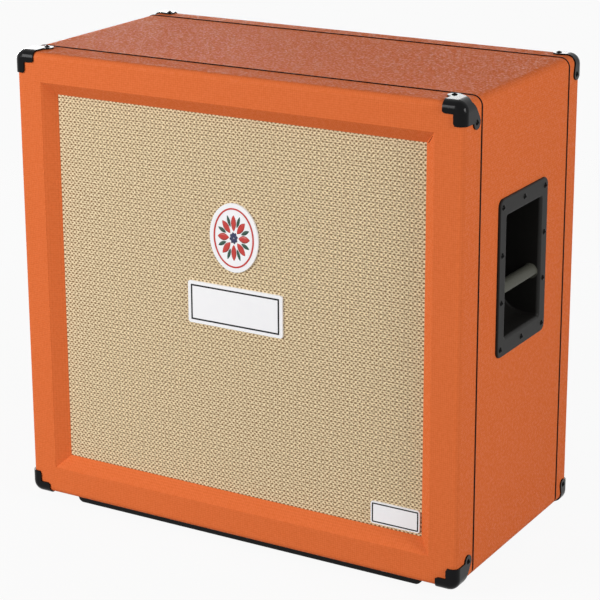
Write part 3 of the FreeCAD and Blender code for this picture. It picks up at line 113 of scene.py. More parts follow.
def finish(name, colour, roughness, ior=1.5, metallic=0.0, specular=0.5):
    """Start a material with uniform values on its shader, and return it with its tree and shader."""
    made = bpy.data.materials.new(name)
    made.use_nodes = True
    made.diffuse_color = linear(colour)
    shader = made.node_tree.nodes["Principled BSDF"]
    shader.inputs["Base Color"].default_value = linear(colour)
    shader.inputs["Roughness"].default_value = roughness
    shader.inputs["IOR"].default_value = ior
    shader.inputs["Metallic"].default_value = metallic
    shader.inputs["Specular IOR Level"].default_value = specular
    return made, made.node_tree, shader


def place_in(tree):
    """The point on the piece, in metres of the cabinet's own frame."""
    return add(tree, "ShaderNodeTexCoord").outputs["Object"]


def drift(tree, shader, light_colour, dark_colour, size_mm, stretch=(1, 1, 1)):
    """Let the colour wander between two tones over patches of the given size."""
    scaled = add(tree, "ShaderNodeVectorMath", {0: place_in(tree), 1: stretch}, operation="MULTIPLY")
    noise = add(tree, "ShaderNodeTexNoise",
                {"Vector": scaled.outputs[0], "Scale": 1 / (size_mm * MM), "Detail": 3})
    tones = add(tree, "ShaderNodeMix",
                {"Factor": noise.outputs[0], "A": linear(dark_colour), "B": linear(light_colour)},
                data_type="RGBA")
    tree.links.new(tones.outputs["Result"], shader.inputs["Base Color"])
    return tones.outputs["Result"]


def grain(tree, shader, size_mm, depth_mm, stretch=(1, 1, 1)):
    """Roughen the surface with bumps of the given width and depth."""
    scaled = add(tree, "ShaderNodeVectorMath", {0: place_in(tree), 1: stretch}, operation="MULTIPLY")
    noise = add(tree, "ShaderNodeTexNoise",
                {"Vector": scaled.outputs[0], "Scale": 1 / (size_mm * MM), "Detail": 2})
    bump = add(tree, "ShaderNodeBump",
               {"Height": noise.outputs[0], "Distance": depth_mm * MM, "Strength": BUMP_STRENGTH})
    tree.links.new(bump.outputs[0], shader.inputs["Normal"])


def dress(material, *nodes):
    """Give CAD nodes a finish in place of the plain one they came with."""
    for name in nodes:
        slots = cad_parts[name].data.materials
        slots.clear()
        slots.append(material)
    print(material.name, "on", ", ".join(nodes))


print("each finish has a base, a drift of its colour and a grain")

# %% [markdown]
# ## The camera
# The picture was taken from the front and a little to the right, a few metres away with a long lens,
# which keeps the cabinet's edges nearly parallel. The angles and the distance below come from lining
# up the long edges of the cabinet with the picture. The lens is shifted down a little, as a product
# photographer does to keep uprights upright.

# %% Set up the camera
AIM = Vector((0, 0, 0.38))
SENSOR_MM = 36.0
LENS_MM = 124.71
LENS_SHIFT = -0.1
CAMERA_AZIMUTH = math.radians(30.485)
CAMERA_ELEVATION = math.radians(16.332)
CAMERA_ROLL = math.radians(-0.245)
CAMERA_PLACE = Vector((1.5766, -2.6689, 1.3498))
camera = bpy.data.objects.new("camera", bpy.data.cameras.new("camera"))
bpy.context.scene.collection.objects.link(camera)
bpy.context.scene.camera = camera
camera.data.sensor_width = SENSOR_MM
camera.data.lens = LENS_MM
camera.data.shift_y = LENS_SHIFT
turned = Matrix.Rotation(CAMERA_AZIMUTH, 4, "Z") @ Matrix.Rotation(math.pi / 2 - CAMERA_ELEVATION, 4, "X")
camera.matrix_world = Matrix.Translation(CAMERA_PLACE) @ turned @ Matrix.Rotation(CAMERA_ROLL, 4, "Z")
print("camera stands", round((CAMERA_PLACE - AIM).length, 2), "m from the cabinet")

# %% [markdown]
# ## The room
# A packshot room is a pale sweep with light from everywhere. The world gives that even light. Where the
# camera, a reflection or a see-through ray looks straight at it, it shows as near-white paper at a
# strength of 1. Rays that only carry light to the cabinet get less, so the colours stay as written.

# %% Paper-white surroundings
PAPER = linear("#FAFAFA")
AMBIENT = 0.20


def seen_directly(tree):
    """One for rays from the camera, from a reflection or through glass, and zero for all others."""
    rays = add(tree, "ShaderNodeLightPath")
    looked_at = rays.outputs["Is Camera Ray"]
    for kind in ("Is Glossy Ray", "Is Transmission Ray"):
        either = add(tree, "ShaderNodeMath", {0: looked_at, 1: rays.outputs[kind]}, operation="MAXIMUM")
        looked_at = either.outputs[0]
    return looked_at


bpy.context.scene.view_settings.view_transform = "Standard"
world = bpy.data.worlds.new("paper_room")
bpy.context.scene.world = world
world.use_nodes = True
room = world.node_tree
strength = add(room, "ShaderNodeMapRange",
               {"Value": seen_directly(room), "To Min": AMBIENT, "To Max": 1.0})
backdrop = room.nodes["Background"]
backdrop.inputs["Color"].default_value = PAPER
room.links.new(strength.outputs[0], backdrop.inputs["Strength"])
print("ambient level:", AMBIENT)

# %% [markdown]
# The floor is a wide sheet of pale paper. Its own shade is mostly hidden by the paper-white that the
# camera sees, so that only a soft shadow is left under the cabinet. Towards its rim the sheet turns
# clear, and no edge shows against the surroundings.

# %% Pale floor
FLOOR_REACH = 2.6
FLOOR_CLEAR_FROM = 1.2
SHADOW_SHARE = 0.07
FLOOR_GREY = linear("#BEBEBE")
FLOOR_WHITE = linear("#FFFFFF")
floor_mesh = bpy.data.meshes.new("floor")
rim = [(-FLOOR_REACH, -FLOOR_REACH, 0), (FLOOR_REACH, -FLOOR_REACH, 0),
       (FLOOR_REACH, FLOOR_REACH, 0), (-FLOOR_REACH, FLOOR_REACH, 0)]
floor_mesh.from_pydata(rim, [], [(0, 1, 2, 3)])
floor = bpy.data.objects.new("floor", floor_mesh)
bpy.context.scene.collection.objects.link(floor)
floor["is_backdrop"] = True
paper = bpy.data.materials.new("pale_floor_paper")
paper.use_nodes = True
sheet_tree = paper.node_tree
sheet_tree.nodes.remove(sheet_tree.nodes["Principled BSDF"])
matte = add(sheet_tree, "ShaderNodeBsdfDiffuse", {"Color": FLOOR_GREY})
glow = add(sheet_tree, "ShaderNodeEmission", {"Color": FLOOR_WHITE, "Strength": 1.0})
white_share = add(sheet_tree, "ShaderNodeMath", {0: seen_directly(sheet_tree), 1: 1 - SHADOW_SHARE},
                  operation="MULTIPLY")
lit = add(sheet_tree, "ShaderNodeMixShader",
          {0: white_share.outputs[0], 1: matte.outputs[0], 2: glow.outputs[0]})
distance = add(sheet_tree, "ShaderNodeVectorMath", {0: place_in(sheet_tree)}, operation="LENGTH")
fade = add(sheet_tree, "ShaderNodeMapRange",
           {"Value": distance.outputs["Value"], "From Min": FLOOR_CLEAR_FROM, "From Max": FLOOR_REACH},
           interpolation_type="SMOOTHSTEP")
clear = add(sheet_tree, "ShaderNodeBsdfTransparent")
faded = add(sheet_tree, "ShaderNodeMixShader", {0: fade.outputs[0], 1: lit.outputs[0], 2: clear.outputs[0]})
sheet_tree.links.new(faded.outputs[0], sheet_tree.nodes["Material Output"].inputs["Surface"])
floor_mesh.materials.append(paper)
print("floor reaches", FLOOR_REACH, "m from the middle")

# %% [markdown]
# ## The lamps
# The front of the cabinet is the brightest side, its right side is a little darker, and the top gets the
# least, apart from a pale sheen. Three soft boxes do that: one in front, left and above, one on the right
# for the side, and a strip behind that only skims the top, where the grain and the corners catch it. A
# fourth stands low behind on the left and fills the two sides that the others miss. A lamp is set by the
# level that it gives a white card at the cabinet, and its power follows from the distance.

# %% Four soft boxes


def soft_box(name, place, width, height, level):
    """A rectangular area lamp that lights a white card at the cabinet to the given level."""
    data = bpy.data.lights.new(name, "AREA")
    data.shape = "RECTANGLE"
    data.size = width
    data.size_y = height
    lamp = bpy.data.objects.new(name, data)
    lamp.visible_camera = False
    bpy.context.scene.collection.objects.link(lamp)
    aim = AIM - Vector(place)
    data.energy = level * math.pi ** 2 * aim.length_squared
    lamp.matrix_world = Matrix.Translation(place) @ aim.to_track_quat("-Z", "Y").to_matrix().to_4x4()
    print(name, round(data.energy), "W")


soft_box("front_soft_box", (-1.9, -3.0, 1.6), width=1.8, height=1.8, level=0.72)
soft_box("right_soft_box", (3.4, -0.7, 1.6), width=1.2, height=1.2, level=0.48)
soft_box("rear_strip", (-1.6, 2.66, 1.37), width=2.2, height=0.4, level=0.10)
soft_box("rear_fill", (-2.6, 2.8, 0.5), width=1.6, height=0.8, level=0.55)

# %% [markdown]
# ## Orange vinyl
# The box is covered in PVC vinyl on a cloth backing. A heated roller presses a fine pebbled weave into
# it, so it is matt in the hollows and polished on the crowns. The real grain, about 1 mm, is too fine
# for this picture, so it is drawn at 3.2 mm, the finest that shows, and as much deeper. Cosines along
# the three directions, each left out where the surface faces that way, give the same grid of crowns on
# every side with no seams to match, and a noise breaks the grid up into pebbles. The crowns are painted
# a little paler and the hollows a little darker, a painted highlight and painted shade of the relief.

# %% Woven-emboss vinyl
VINYL_WEAVE_MM = 3.2
VINYL_GRAIN_MM = 3.2
VINYL_DEPTH_MM = 0.5
CROWN_SHARE = 0.16
RELIEF_LOW, RELIEF_HIGH = 0.2, 0.8
PEBBLE_LOW, PEBBLE_HIGH = 0.38, 0.62
HOLLOW_ROUGHNESS, CROWN_ROUGHNESS = 0.98, 0.36
vinyl, tree, shader = finish("pvc_vinyl_woven_emboss", "#E1713C", roughness=0.66, ior=1.53, specular=0.04)
angles = add(tree, "ShaderNodeVectorMath", {0: place_in(tree), "Scale": TURN / (VINYL_WEAVE_MM * MM)},
             operation="SCALE")
waves = add(tree, "ShaderNodeVectorMath", {0: angles.outputs[0]}, operation="COSINE")
facing = add(tree, "ShaderNodeNewGeometry").outputs["True Normal"]
facing_squared = add(tree, "ShaderNodeVectorMath", {0: facing, 1: facing}, operation="MULTIPLY")
in_surface = add(tree, "ShaderNodeVectorMath", {0: (1, 1, 1), 1: facing_squared.outputs[0]},
                 operation="SUBTRACT")
crowns = add(tree, "ShaderNodeVectorMath", {0: waves.outputs[0], 1: in_surface.outputs[0]},
             operation="DOT_PRODUCT")
pebbles = add(tree, "ShaderNodeTexNoise",
              {"Vector": place_in(tree), "Scale": 1 / (VINYL_GRAIN_MM * MM), "Detail": 3})
relief = add(tree, "ShaderNodeMath", {0: crowns.outputs["Value"], 1: CROWN_SHARE, 2: pebbles.outputs[0]},
             operation="MULTIPLY_ADD")
share = add(tree, "ShaderNodeMapRange",
            {"Value": relief.outputs[0], "From Min": RELIEF_LOW, "From Max": RELIEF_HIGH})
# Painted shade and highlight: the hollows of the relief are painted darker and the crowns paler.
vinyl_relief_shade_tone = add(tree, "ShaderNodeMix",
           {"Factor": share.outputs[0], "A": linear("#DC6C37"), "B": linear("#E67641")}, data_type="RGBA")
polish = add(tree, "ShaderNodeMapRange",
             {"Value": pebbles.outputs[0], "From Min": PEBBLE_LOW, "From Max": PEBBLE_HIGH,
              "To Min": HOLLOW_ROUGHNESS, "To Max": CROWN_ROUGHNESS})
tree.links.new(polish.outputs[0], shader.inputs["Roughness"])
tree.links.new(vinyl_relief_shade_tone.outputs["Result"], shader.inputs["Base Color"])
bump = add(tree, "ShaderNodeBump",
           {"Height": relief.outputs[0], "Distance": VINYL_DEPTH_MM * MM, "Strength": BUMP_STRENGTH})
tree.links.new(bump.outputs[0], shader.inputs["Normal"])
dress(vinyl, "front_vinyl", "middle_vinyl", "rear_vinyl")

# %% [markdown]
# ## Reading separate solids out of a node
# Plates and screws share a node in the model. To work on one of them, its box has to be known. Vertices
# that lie on each other are welded in a scratch copy of the mesh, and then each connected island is one
# solid.

# %% Boxes of the solids in a node
WELD = 1e-6


def solids(node):
    """Lowest and highest corner of each separate solid in a node, in a steady order."""
    scratch = bmesh.new()
    scratch.from_mesh(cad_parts[node].data)
    bmesh.ops.remove_doubles(scratch, verts=scratch.verts, dist=WELD)
    left = set(scratch.verts)
    boxes = []
    for start in scratch.verts:
        if start not in left:
            continue
        island = [start]
        left.discard(start)
        for vertex in island:
            near = [edge.other_vert(vertex) for edge in vertex.link_edges]
            island += [other for other in near if other in left]
            left.difference_update(near)
        points = [vertex.co for vertex in island]
        low = Vector([min(p[axis] for p in points) for axis in range(3)])
        high = Vector([max(p[axis] for p in points) for axis in range(3)])
        boxes.append((low, high))
    scratch.free()
    return boxes


def new_piece(name, mesh, material):
    """Put a mesh in the scene as a piece that rides on the cabinet."""
    piece = bpy.data.objects.new(name, mesh)
    bpy.context.scene.collection.objects.link(piece)
    mesh.materials.append(material)
    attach(piece, "cabinet")
    print(name, "has", len(mesh.polygons), "faces")
    return piece


print("seams to fill:", len(solids("piping")), "and plates on the cloth:", len(solids("badge_plates")))

# %% [markdown]
# ## Piping
# Where two bands of vinyl meet, a round cord of dark PVC is sewn into the seam and stands a little proud
# of it, so that it reads as a dark line even where the surface is seen edge on. The model has the seam's
# flush filler, so a fuller cord takes its place here: a circle carried along the seam's round-cornered
# path. Under the cabinet it stays below the surface, because the skids lie across it. The cord has the
# deep brown-black and the half-matt skin of an extrusion. The white room would turn so dark a thing grey,
# so its specular level is low.

# %% A cord along each seam
PIPING_RADIUS = 1.8 * MM
PIPING_RISE = 1.3 * MM
SEAM_SINK = 0.3 * MM
SEAM_CORNER = 14 * MM
PIPING_SIDES = 12
piping_black, tree, shader = finish("pvc_extruded_piping", "#0C0504", roughness=0.5, ior=1.53,
                                    specular=0.06)
drift(tree, shader, "#100605", "#080303", size_mm=25)
grain(tree, shader, size_mm=1.5, depth_mm=0.03)


def rectangle(low, high, inset, corner, steps=6):
    """Points of a round-cornered rectangle in the x-z plane, inside a box by an inset."""
    turns = []
    for quarter, (x, z) in enumerate(((1, 1), (0, 1), (0, 0), (1, 0))):
        centre_x = high.x - inset - corner if x else low.x + inset + corner
        centre_z = high.z - inset - corner if z else low.z + inset + corner
        for step in range(steps + 1):
            angle = (quarter + step / steps) * math.pi / 2
            turns.append((centre_x + corner * math.cos(angle), centre_z + corner * math.sin(angle)))
    return turns


def closed_cord(outlines, radius):
    """Round cords that each follow a closed outline in the x-z plane at their own depth."""
    points, faces = [], []
    for outline, depth in outlines:
        first, count = len(points), len(outline)
        for index, (x, z) in enumerate(outline):
            along = Vector(outline[(index + 1) % count]) - Vector(outline[index - 1])
            outward = Vector((along.y, -along.x)).normalized() * radius
            for side in range(PIPING_SIDES):
                angle = TURN * side / PIPING_SIDES
                out, back = math.cos(angle), math.sin(angle)
                points.append((x + outward.x * out, depth + radius * back, z + outward.y * out))
        for index in range(count):
            here, there = first + index * PIPING_SIDES, first + (index + 1) % count * PIPING_SIDES
            for side in range(PIPING_SIDES):
                following = (side + 1) % PIPING_SIDES
                faces.append((here + side, here + following, there + following, there + side))
    mesh = bpy.data.meshes.new("piping_cord")
    mesh.from_pydata(points, [], faces)
    mesh.polygons.foreach_set("use_smooth", [True] * len(faces))
    return mesh


seams = []
inset = PIPING_RADIUS - PIPING_RISE - SEAM_SINK
for low, high in solids("piping"):
    low.z += PIPING_RADIUS - inset
    seams.append((rectangle(low, high, inset, SEAM_CORNER), (low.y + high.y) / 2))
piping = new_piece("piping_cord", closed_cord(seams, PIPING_RADIUS), piping_black)
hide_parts("piping")

# %% [markdown]
# ## Grille cloth
# Grille cloth is a coarse basket weave of stiff, tan yarn, stretched over the baffle and tucked under
# the frame. The mesh has one point for each crossing of two threads. At every other crossing the
# upright thread passes over and stands proud, which is what a plain weave does. The back is a flat
# face, so the cloth is a closed sheet.

# %% Thread spacing and the woven sheet
CLOTH_LOW, CLOTH_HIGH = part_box("grille_cloth")
CLOTH_SIZE = CLOTH_HIGH - CLOTH_LOW
THREAD_ACROSS_MM = 3.4
THREAD_UP_MM = 3.57
CROWN_RISE = 0.35 * MM
columns = round(CLOTH_SIZE.x / (THREAD_ACROSS_MM * MM))
rows = round(CLOTH_SIZE.z / (THREAD_UP_MM * MM))
step_x = CLOTH_SIZE.x / columns
step_z = CLOTH_SIZE.z / rows
points = []
for row in range(rows + 1):
    for column in range(columns + 1):
        hollow = CROWN_RISE if (row + column) % 2 else 0.0
        points.append((CLOTH_LOW.x + column * step_x, CLOTH_LOW.y + hollow, CLOTH_LOW.z + row * step_z))
across = columns + 1
faces = [(row * across + column, row * across + column + 1, (row + 1) * across + column + 1,
          (row + 1) * across + column) for row in range(rows) for column in range(columns)]
bottom_edge = list(range(across))
top_edge = [rows * across + column for column in range(across)]
left_edge = [row * across for row in range(rows + 1)]
right_edge = [row * across + columns for row in range(rows + 1)]
back = len(points)
points += [(x, CLOTH_HIGH.y, z) for z in (CLOTH_LOW.z, CLOTH_HIGH.z) for x in (CLOTH_LOW.x, CLOTH_HIGH.x)]
faces += [(back, back + 2, back + 3, back + 1),
          (*reversed(bottom_edge), back, back + 1), (*top_edge, back + 3, back + 2),
          (*left_edge, back + 2, back), (*reversed(right_edge), back + 1, back + 3)]
cloth_mesh = bpy.data.meshes.new("woven_grille_cloth")
cloth_mesh.from_pydata(points, [], faces)
cloth_mesh.polygons.foreach_set("use_smooth", [index < rows * columns for index in range(len(faces))])
print("threads:", columns, "across and", rows, "up")

# %% [markdown]
# The yarn's colour follows the same threads. One pair of cosines is light along the rows of yarn that lie
# between the points. Another pair changes sign from point to point: at every other point an upright
# thread closes the gap between two rows, and at the next one the gap is open. The sheet has no holes, so
# the dark end of the colour, in the gaps and where the yarn is thin, is painted shade together with the
# black baffle that shows through. A noise that is longer than it is high gives the slubs, the thick and
# thin stretches of a yarn, which break up the grid.

# %% Woven yarn
SLUB_LENGTH_MM = 3.4
SLUB_HEIGHT_MM = 2.0
YARN_DEPTH_MM = 0.5
ROW_WEIGHTS = (-0.06, 0, -0.18)
CROSSING_WEIGHT = 0.36
OTHER_ROW_WEIGHT = 0.09
SLUB_WEIGHT = 1.4
THIN_YARN, FULL_YARN = 0.32, 1.08
yarn, tree, shader = finish("polyester_yarn_basket_weave", "#D3B98F", roughness=0.75, ior=1.5, specular=0.3)
shader.inputs["Sheen Weight"].default_value = 0.15
shader.inputs["Sheen Roughness"].default_value = 0.5
from_corner = add(tree, "ShaderNodeVectorMath", {0: place_in(tree), 1: CLOTH_LOW}, operation="SUBTRACT")
threads = add(tree, "ShaderNodeVectorMath",
              {0: from_corner.outputs[0], 1: (math.pi / step_x, 0, math.pi / step_z)}, operation="MULTIPLY")
parity_waves = add(tree, "ShaderNodeVectorMath", {0: threads.outputs[0]}, operation="COSINE")
parity_parts = add(tree, "ShaderNodeSeparateXYZ", {0: parity_waves.outputs[0]})
parity = add(tree, "ShaderNodeMath", {0: parity_parts.outputs["X"], 1: parity_parts.outputs["Z"]},
             operation="MULTIPLY")
doubled = add(tree, "ShaderNodeVectorMath", {0: threads.outputs[0], "Scale": 2.0}, operation="SCALE")
thread_waves = add(tree, "ShaderNodeVectorMath", {0: doubled.outputs[0]}, operation="COSINE")
body_of_thread = add(tree, "ShaderNodeVectorMath", {0: thread_waves.outputs[0], 1: ROW_WEIGHTS},
                     operation="DOT_PRODUCT")
crossings = add(tree, "ShaderNodeMath",
                {0: parity.outputs[0], 1: CROSSING_WEIGHT, 2: body_of_thread.outputs["Value"]},
                operation="MULTIPLY_ADD")
other_row = add(tree, "ShaderNodeMath",
                {0: parity_parts.outputs["Z"], 1: OTHER_ROW_WEIGHT, 2: crossings.outputs[0]},
                operation="MULTIPLY_ADD")
along_slub = add(tree, "ShaderNodeVectorMath",
                 {0: from_corner.outputs[0], 1: (1 / (SLUB_LENGTH_MM * MM), 1, 1 / (SLUB_HEIGHT_MM * MM))},
                 operation="MULTIPLY")
slubs = add(tree, "ShaderNodeTexNoise", {"Vector": along_slub.outputs[0], "Scale": 1.0, "Detail": 2})
fullness = add(tree, "ShaderNodeMath", {0: slubs.outputs[0], 1: SLUB_WEIGHT, 2: other_row.outputs[0]},
               operation="MULTIPLY_ADD")
yarn_share = add(tree, "ShaderNodeMapRange",
                 {"Value": fullness.outputs[0], "From Min": THIN_YARN, "From Max": FULL_YARN})
# Painted shade: the dark end of this mix fills the gaps between threads, along with the dark baffle seen
# through them.
yarn_tone_and_gap_shade = add(tree, "ShaderNodeMix",
                {"Factor": yarn_share.outputs[0], "A": linear("#75522A"), "B": linear("#FFEAC0")},
                data_type="RGBA")
tree.links.new(yarn_tone_and_gap_shade.outputs["Result"], shader.inputs["Base Color"])
bump = add(tree, "ShaderNodeBump",
           {"Height": fullness.outputs[0], "Distance": YARN_DEPTH_MM * MM, "Strength": BUMP_STRENGTH})
tree.links.new(bump.outputs[0], shader.inputs["Normal"])
cloth = new_piece("grille_cloth_woven", cloth_mesh, yarn)
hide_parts("grille_cloth")

# %% [markdown]
# ## Plates on the cloth
# Three thin plates are fixed on the cloth: a name plate, an oval medallion above it and a small
# plate in the corner. They are injection-moulded ABS, white and smooth. On this cabinet they are bare
# but for a printed border, which is built here as a low raised band, so that it stays in the meshes.

# %% White plates with dark borders
plate_white, tree, shader = finish("abs_moulded_white", "#FBFBFD", roughness=0.32, ior=1.54)
drift(tree, shader, "#FDFDFE", "#F8F8FB", size_mm=20)
grain(tree, shader, size_mm=2.0, depth_mm=0.02)
dress(plate_white, "badge_plates")
plate_ink, tree, shader = finish("screen_print_ink_black", "#08080A", roughness=0.4, ior=1.5, specular=0.12)
drift(tree, shader, "#0B0B0D", "#050507", size_mm=6)
grain(tree, shader, size_mm=0.8, depth_mm=0.02)
INK_RISE = 0.25 * MM


def raised_band(name, outer, inner, foot, rise):
    """A closed band between two outlines with as many points, standing on a plate's front face."""
    count = len(outer)
    rings = [(outer, foot), (outer, foot - rise), (inner, foot - rise), (inner, foot)]
    points = [(x, y, z) for outline, y in rings for x, z in outline]
    faces = []
    for ring in range(len(rings)):
        for index in range(count):
            following = (index + 1) % count
            here, there = ring * count, (ring + 1) % len(rings) * count
            faces.append((here + index, there + index, there + following, here + following))
    mesh = bpy.data.meshes.new(name)
    mesh.from_pydata(points, [], faces)
    return mesh


plates = sorted(solids("badge_plates"), key=lambda box: box[1].x - box[0].x)
small_plate, medallion, name_plate = plates
for name, (low, high), inset, width, corner in (
        ("name_plate_border", name_plate, 5.2 * MM, 2.4 * MM, 0.8 * MM),
        ("small_plate_border", small_plate, 2.2 * MM, 1.9 * MM, 1.2 * MM)):
    outer = rectangle(low, high, inset, corner)
    inner = rectangle(low, high, inset + width, corner / 2)
    new_piece(name, raised_band(name, outer, inner, low.y, INK_RISE), plate_ink)

# %% [markdown]
# The medallion carries a plain rosette of our own: a ring, eight petals and leaves between them, in red,
# green and navy enamel. Each petal is a low dome with a pointed outline, so that it catches the light
# as thick enamel does.

# %% Enamel rosette
enamel_red, tree, shader = finish("enamel_fired_red", "#C8322B", roughness=0.22, ior=1.52)
drift(tree, shader, "#D23A31", "#B82A26", size_mm=7)
enamel_green, tree, shader = finish("enamel_fired_green", "#1E4A3A", roughness=0.22, ior=1.52)
drift(tree, shader, "#245443", "#173D30", size_mm=7)
enamel_navy, tree, shader = finish("enamel_fired_navy", "#252C55", roughness=0.22, ior=1.52)
drift(tree, shader, "#2B335F", "#1D2346", size_mm=7)
PETALS = 8
RING_INSET = 7 * MM
RING_WIDTH = 2.4 * MM
ENAMEL_RISE = 0.5 * MM
PETAL_SECTION = ((-1, 0), (-0.5, 0.75), (0, 1), (0.5, 0.75), (1, 0))
PETAL_TIP = 0.05 * MM
PETAL_STEPS = 10
low, high = medallion
centre_x, centre_z = (low.x + high.x) / 2, (low.z + high.z) / 2
half_x, half_z = (high.x - low.x) / 2, (high.z - low.z) / 2


def oval(inset, steps=96):
    """Points of an oval inside the medallion's rim by an inset."""
    angles = [TURN * step / steps for step in range(steps)]
    return [(centre_x + (half_x - inset) * math.cos(angle), centre_z + (half_z - inset) * math.sin(angle))
            for angle in angles]


def domed_petals(name, turn, start, length, width):
    """Pointed, domed petals set round the middle of the medallion."""
    points, faces = [], []
    across = len(PETAL_SECTION)
    for petal in range(PETALS):
        angle = TURN * (petal + turn) / PETALS
        along = Vector((math.cos(angle), math.sin(angle)))
        aside = Vector((-along.y, along.x))
        first = len(points)
        for step in range(PETAL_STEPS + 1):
            share = step / PETAL_STEPS
            half = width / 2 * math.sin(math.pi * share) ** 0.8 + PETAL_TIP
            crown = ENAMEL_RISE * math.sin(math.pi * share) ** 0.5
            spine = along * (start + length * share)
            for side, height in PETAL_SECTION:
                flat = spine + aside * half * side
                upward = flat.y * half_z / half_x
                points.append((centre_x + flat.x, low.y - crown * height, centre_z + upward))
        for step in range(PETAL_STEPS):
            foot = first + step * across
            for corner in range(foot, foot + across - 1):
                faces.append((corner, corner + across, corner + across + 1, corner + 1))
            faces.append((foot, foot + across - 1, foot + 2 * across - 1, foot + across))
        faces.append(tuple(first + side for side in range(across)))
        faces.append(tuple(first + PETAL_STEPS * across + side for side in reversed(range(across))))
    mesh = bpy.data.meshes.new(name)
    mesh.from_pydata(points, [], faces)
    mesh.polygons.foreach_set("use_smooth", [True] * len(faces))
    return mesh


ring = raised_band("medallion_ring", oval(RING_INSET), oval(RING_INSET + RING_WIDTH), low.y, ENAMEL_RISE)
new_piece("medallion_ring", ring, enamel_red)
petals = domed_petals("medallion_petals", turn=0.0, start=8 * MM, length=20 * MM, width=9 * MM)
new_piece("medallion_petals", petals, enamel_red)
leaves = domed_petals("medallion_leaves", turn=0.5, start=14 * MM, length=15 * MM, width=5 * MM)
new_piece("medallion_leaves", leaves, enamel_green)
hub = domed_petals("medallion_hub", turn=0.25, start=0.5 * MM, length=7 * MM, width=5 * MM)
new_piece("medallion_hub", hub, enamel_navy)

# %% [markdown]
# ## Corner protectors
# The eight corners are injection-moulded ABS shells, black and glossy enough to mirror the white room
# along their tops. A slight orange-peel from the mould keeps the mirror from being perfect.

# %% Moulded black corners
corner_black, tree, shader = finish("abs_moulded_gloss_black", "#060608", roughness=0.16, ior=1.54,
                                    specular=0.11)
drift(tree, shader, "#09090C", "#050506", size_mm=15)
grain(tree, shader, size_mm=2.5, depth_mm=0.05)
dress(corner_black, "front_corners", "rear_corners")

# %% [markdown]
# ## Recessed bar handles
# The handles are one moulding each: a flange, a deep dish and a bar across it. The mould is etched with a
# fine leather grain, which makes the plastic charcoal grey and matt instead of shiny black. The bar is
# painted a paler olive grey, a painted highlight for the light from above that falls on it, so the colour
# also follows the distance to the bar's middle line.

# %% Etched handle plastic with painted light on the bar
BAR_LINE = Vector((369, 0, 432.5)) * MM
BAR_RADIUS_MM = 11
BAR_LIGHT_FULL_OUT_MM, BAR_LIGHT_GONE_OUT_MM = 0.4, 1.4
handle_grey, tree, shader = finish("abs_etched_charcoal", "#151413", roughness=0.5, ior=1.54, specular=0.14)
plastic = drift(tree, shader, "#191816", "#11100F", size_mm=12)
grain(tree, shader, size_mm=1.6, depth_mm=0.12)
either_side = add(tree, "ShaderNodeVectorMath", {0: place_in(tree)}, operation="ABSOLUTE")
from_bar = add(tree, "ShaderNodeVectorMath", {0: either_side.outputs[0], 1: BAR_LINE}, operation="SUBTRACT")
across_bar = add(tree, "ShaderNodeVectorMath", {0: from_bar.outputs[0], 1: (1, 0, 1)}, operation="MULTIPLY")
reach = add(tree, "ShaderNodeVectorMath", {0: across_bar.outputs[0]}, operation="LENGTH")
# Painted highlight: the bar is painted paler where light from above falls on it, fading out just past its
# rim.
bar_painted_light = add(tree, "ShaderNodeMapRange",
             {"Value": reach.outputs["Value"], "From Min": (BAR_RADIUS_MM + BAR_LIGHT_FULL_OUT_MM) * MM,
              "From Max": (BAR_RADIUS_MM + BAR_LIGHT_GONE_OUT_MM) * MM, "To Min": 1.0, "To Max": 0.0})
plastic_with_bar_light = add(tree, "ShaderNodeMix", {"Factor": bar_painted_light.outputs[0], "A": plastic, "B": linear("#4C4C44")},
           data_type="RGBA")
tree.links.new(plastic_with_bar_light.outputs["Result"], shader.inputs["Base Color"])
dress(handle_grey, "left_handle", "right_handle")

# %% [markdown]
# ## Skids
# The cabinet stands on two runners of black polyethylene, extruded with a waxy, half-matt skin.

# %% Extruded skids
skid_black, tree, shader = finish("polyethylene_extruded_black", "#0B0B0B", roughness=0.48, ior=1.51,
                                  specular=0.12)
drift(tree, shader, "#0F0F0F", "#080808", size_mm=30, stretch=(0.15, 1, 1))
grain(tree, shader, size_mm=1.5, depth_mm=0.06, stretch=(0.1, 1, 1))
dress(skid_black, "front_skid", "rear_skid")

# %% [markdown]
# ## Screws
# Every screw here is a black wood screw with a domed head and a cross recess. In the model a screw is a
# plain solid, so each is replaced by one turned profile with a thread, a dome and a real cross cut into
# it. The cut is a boolean, which is done once for each length of screw.

# %% One screw with a cross recess
HEAD_RADIUS = 4.6 * MM
HEAD_RIM = 0.1 * MM
HEAD_HEIGHT = 2.0 * MM
SHANK_RADIUS = 1.5 * MM
THREAD_RADIUS = 1.75 * MM
THREAD_PITCH = 1.8 * MM
THREAD_FLANK = 0.2 * THREAD_PITCH
NECK_LENGTH = 0.05 * MM
TIP_LENGTH = 4.0 * MM
CROSS_LENGTH = 4.4 * MM
CROSS_WIDTH = 1.0 * MM
CROSS_DEPTH = 1.3 * MM
CROSS_TAPER = 0.3
SCREW_SIDES = 20
DOME_STEPS = 5


def scratch_object(name, points, faces):
    """An object that is only used while another one is made."""
    mesh = bpy.data.meshes.new(name)
    mesh.from_pydata(points, [], faces)
    made = bpy.data.objects.new(name, mesh)
    bpy.context.scene.collection.objects.link(made)
    return made


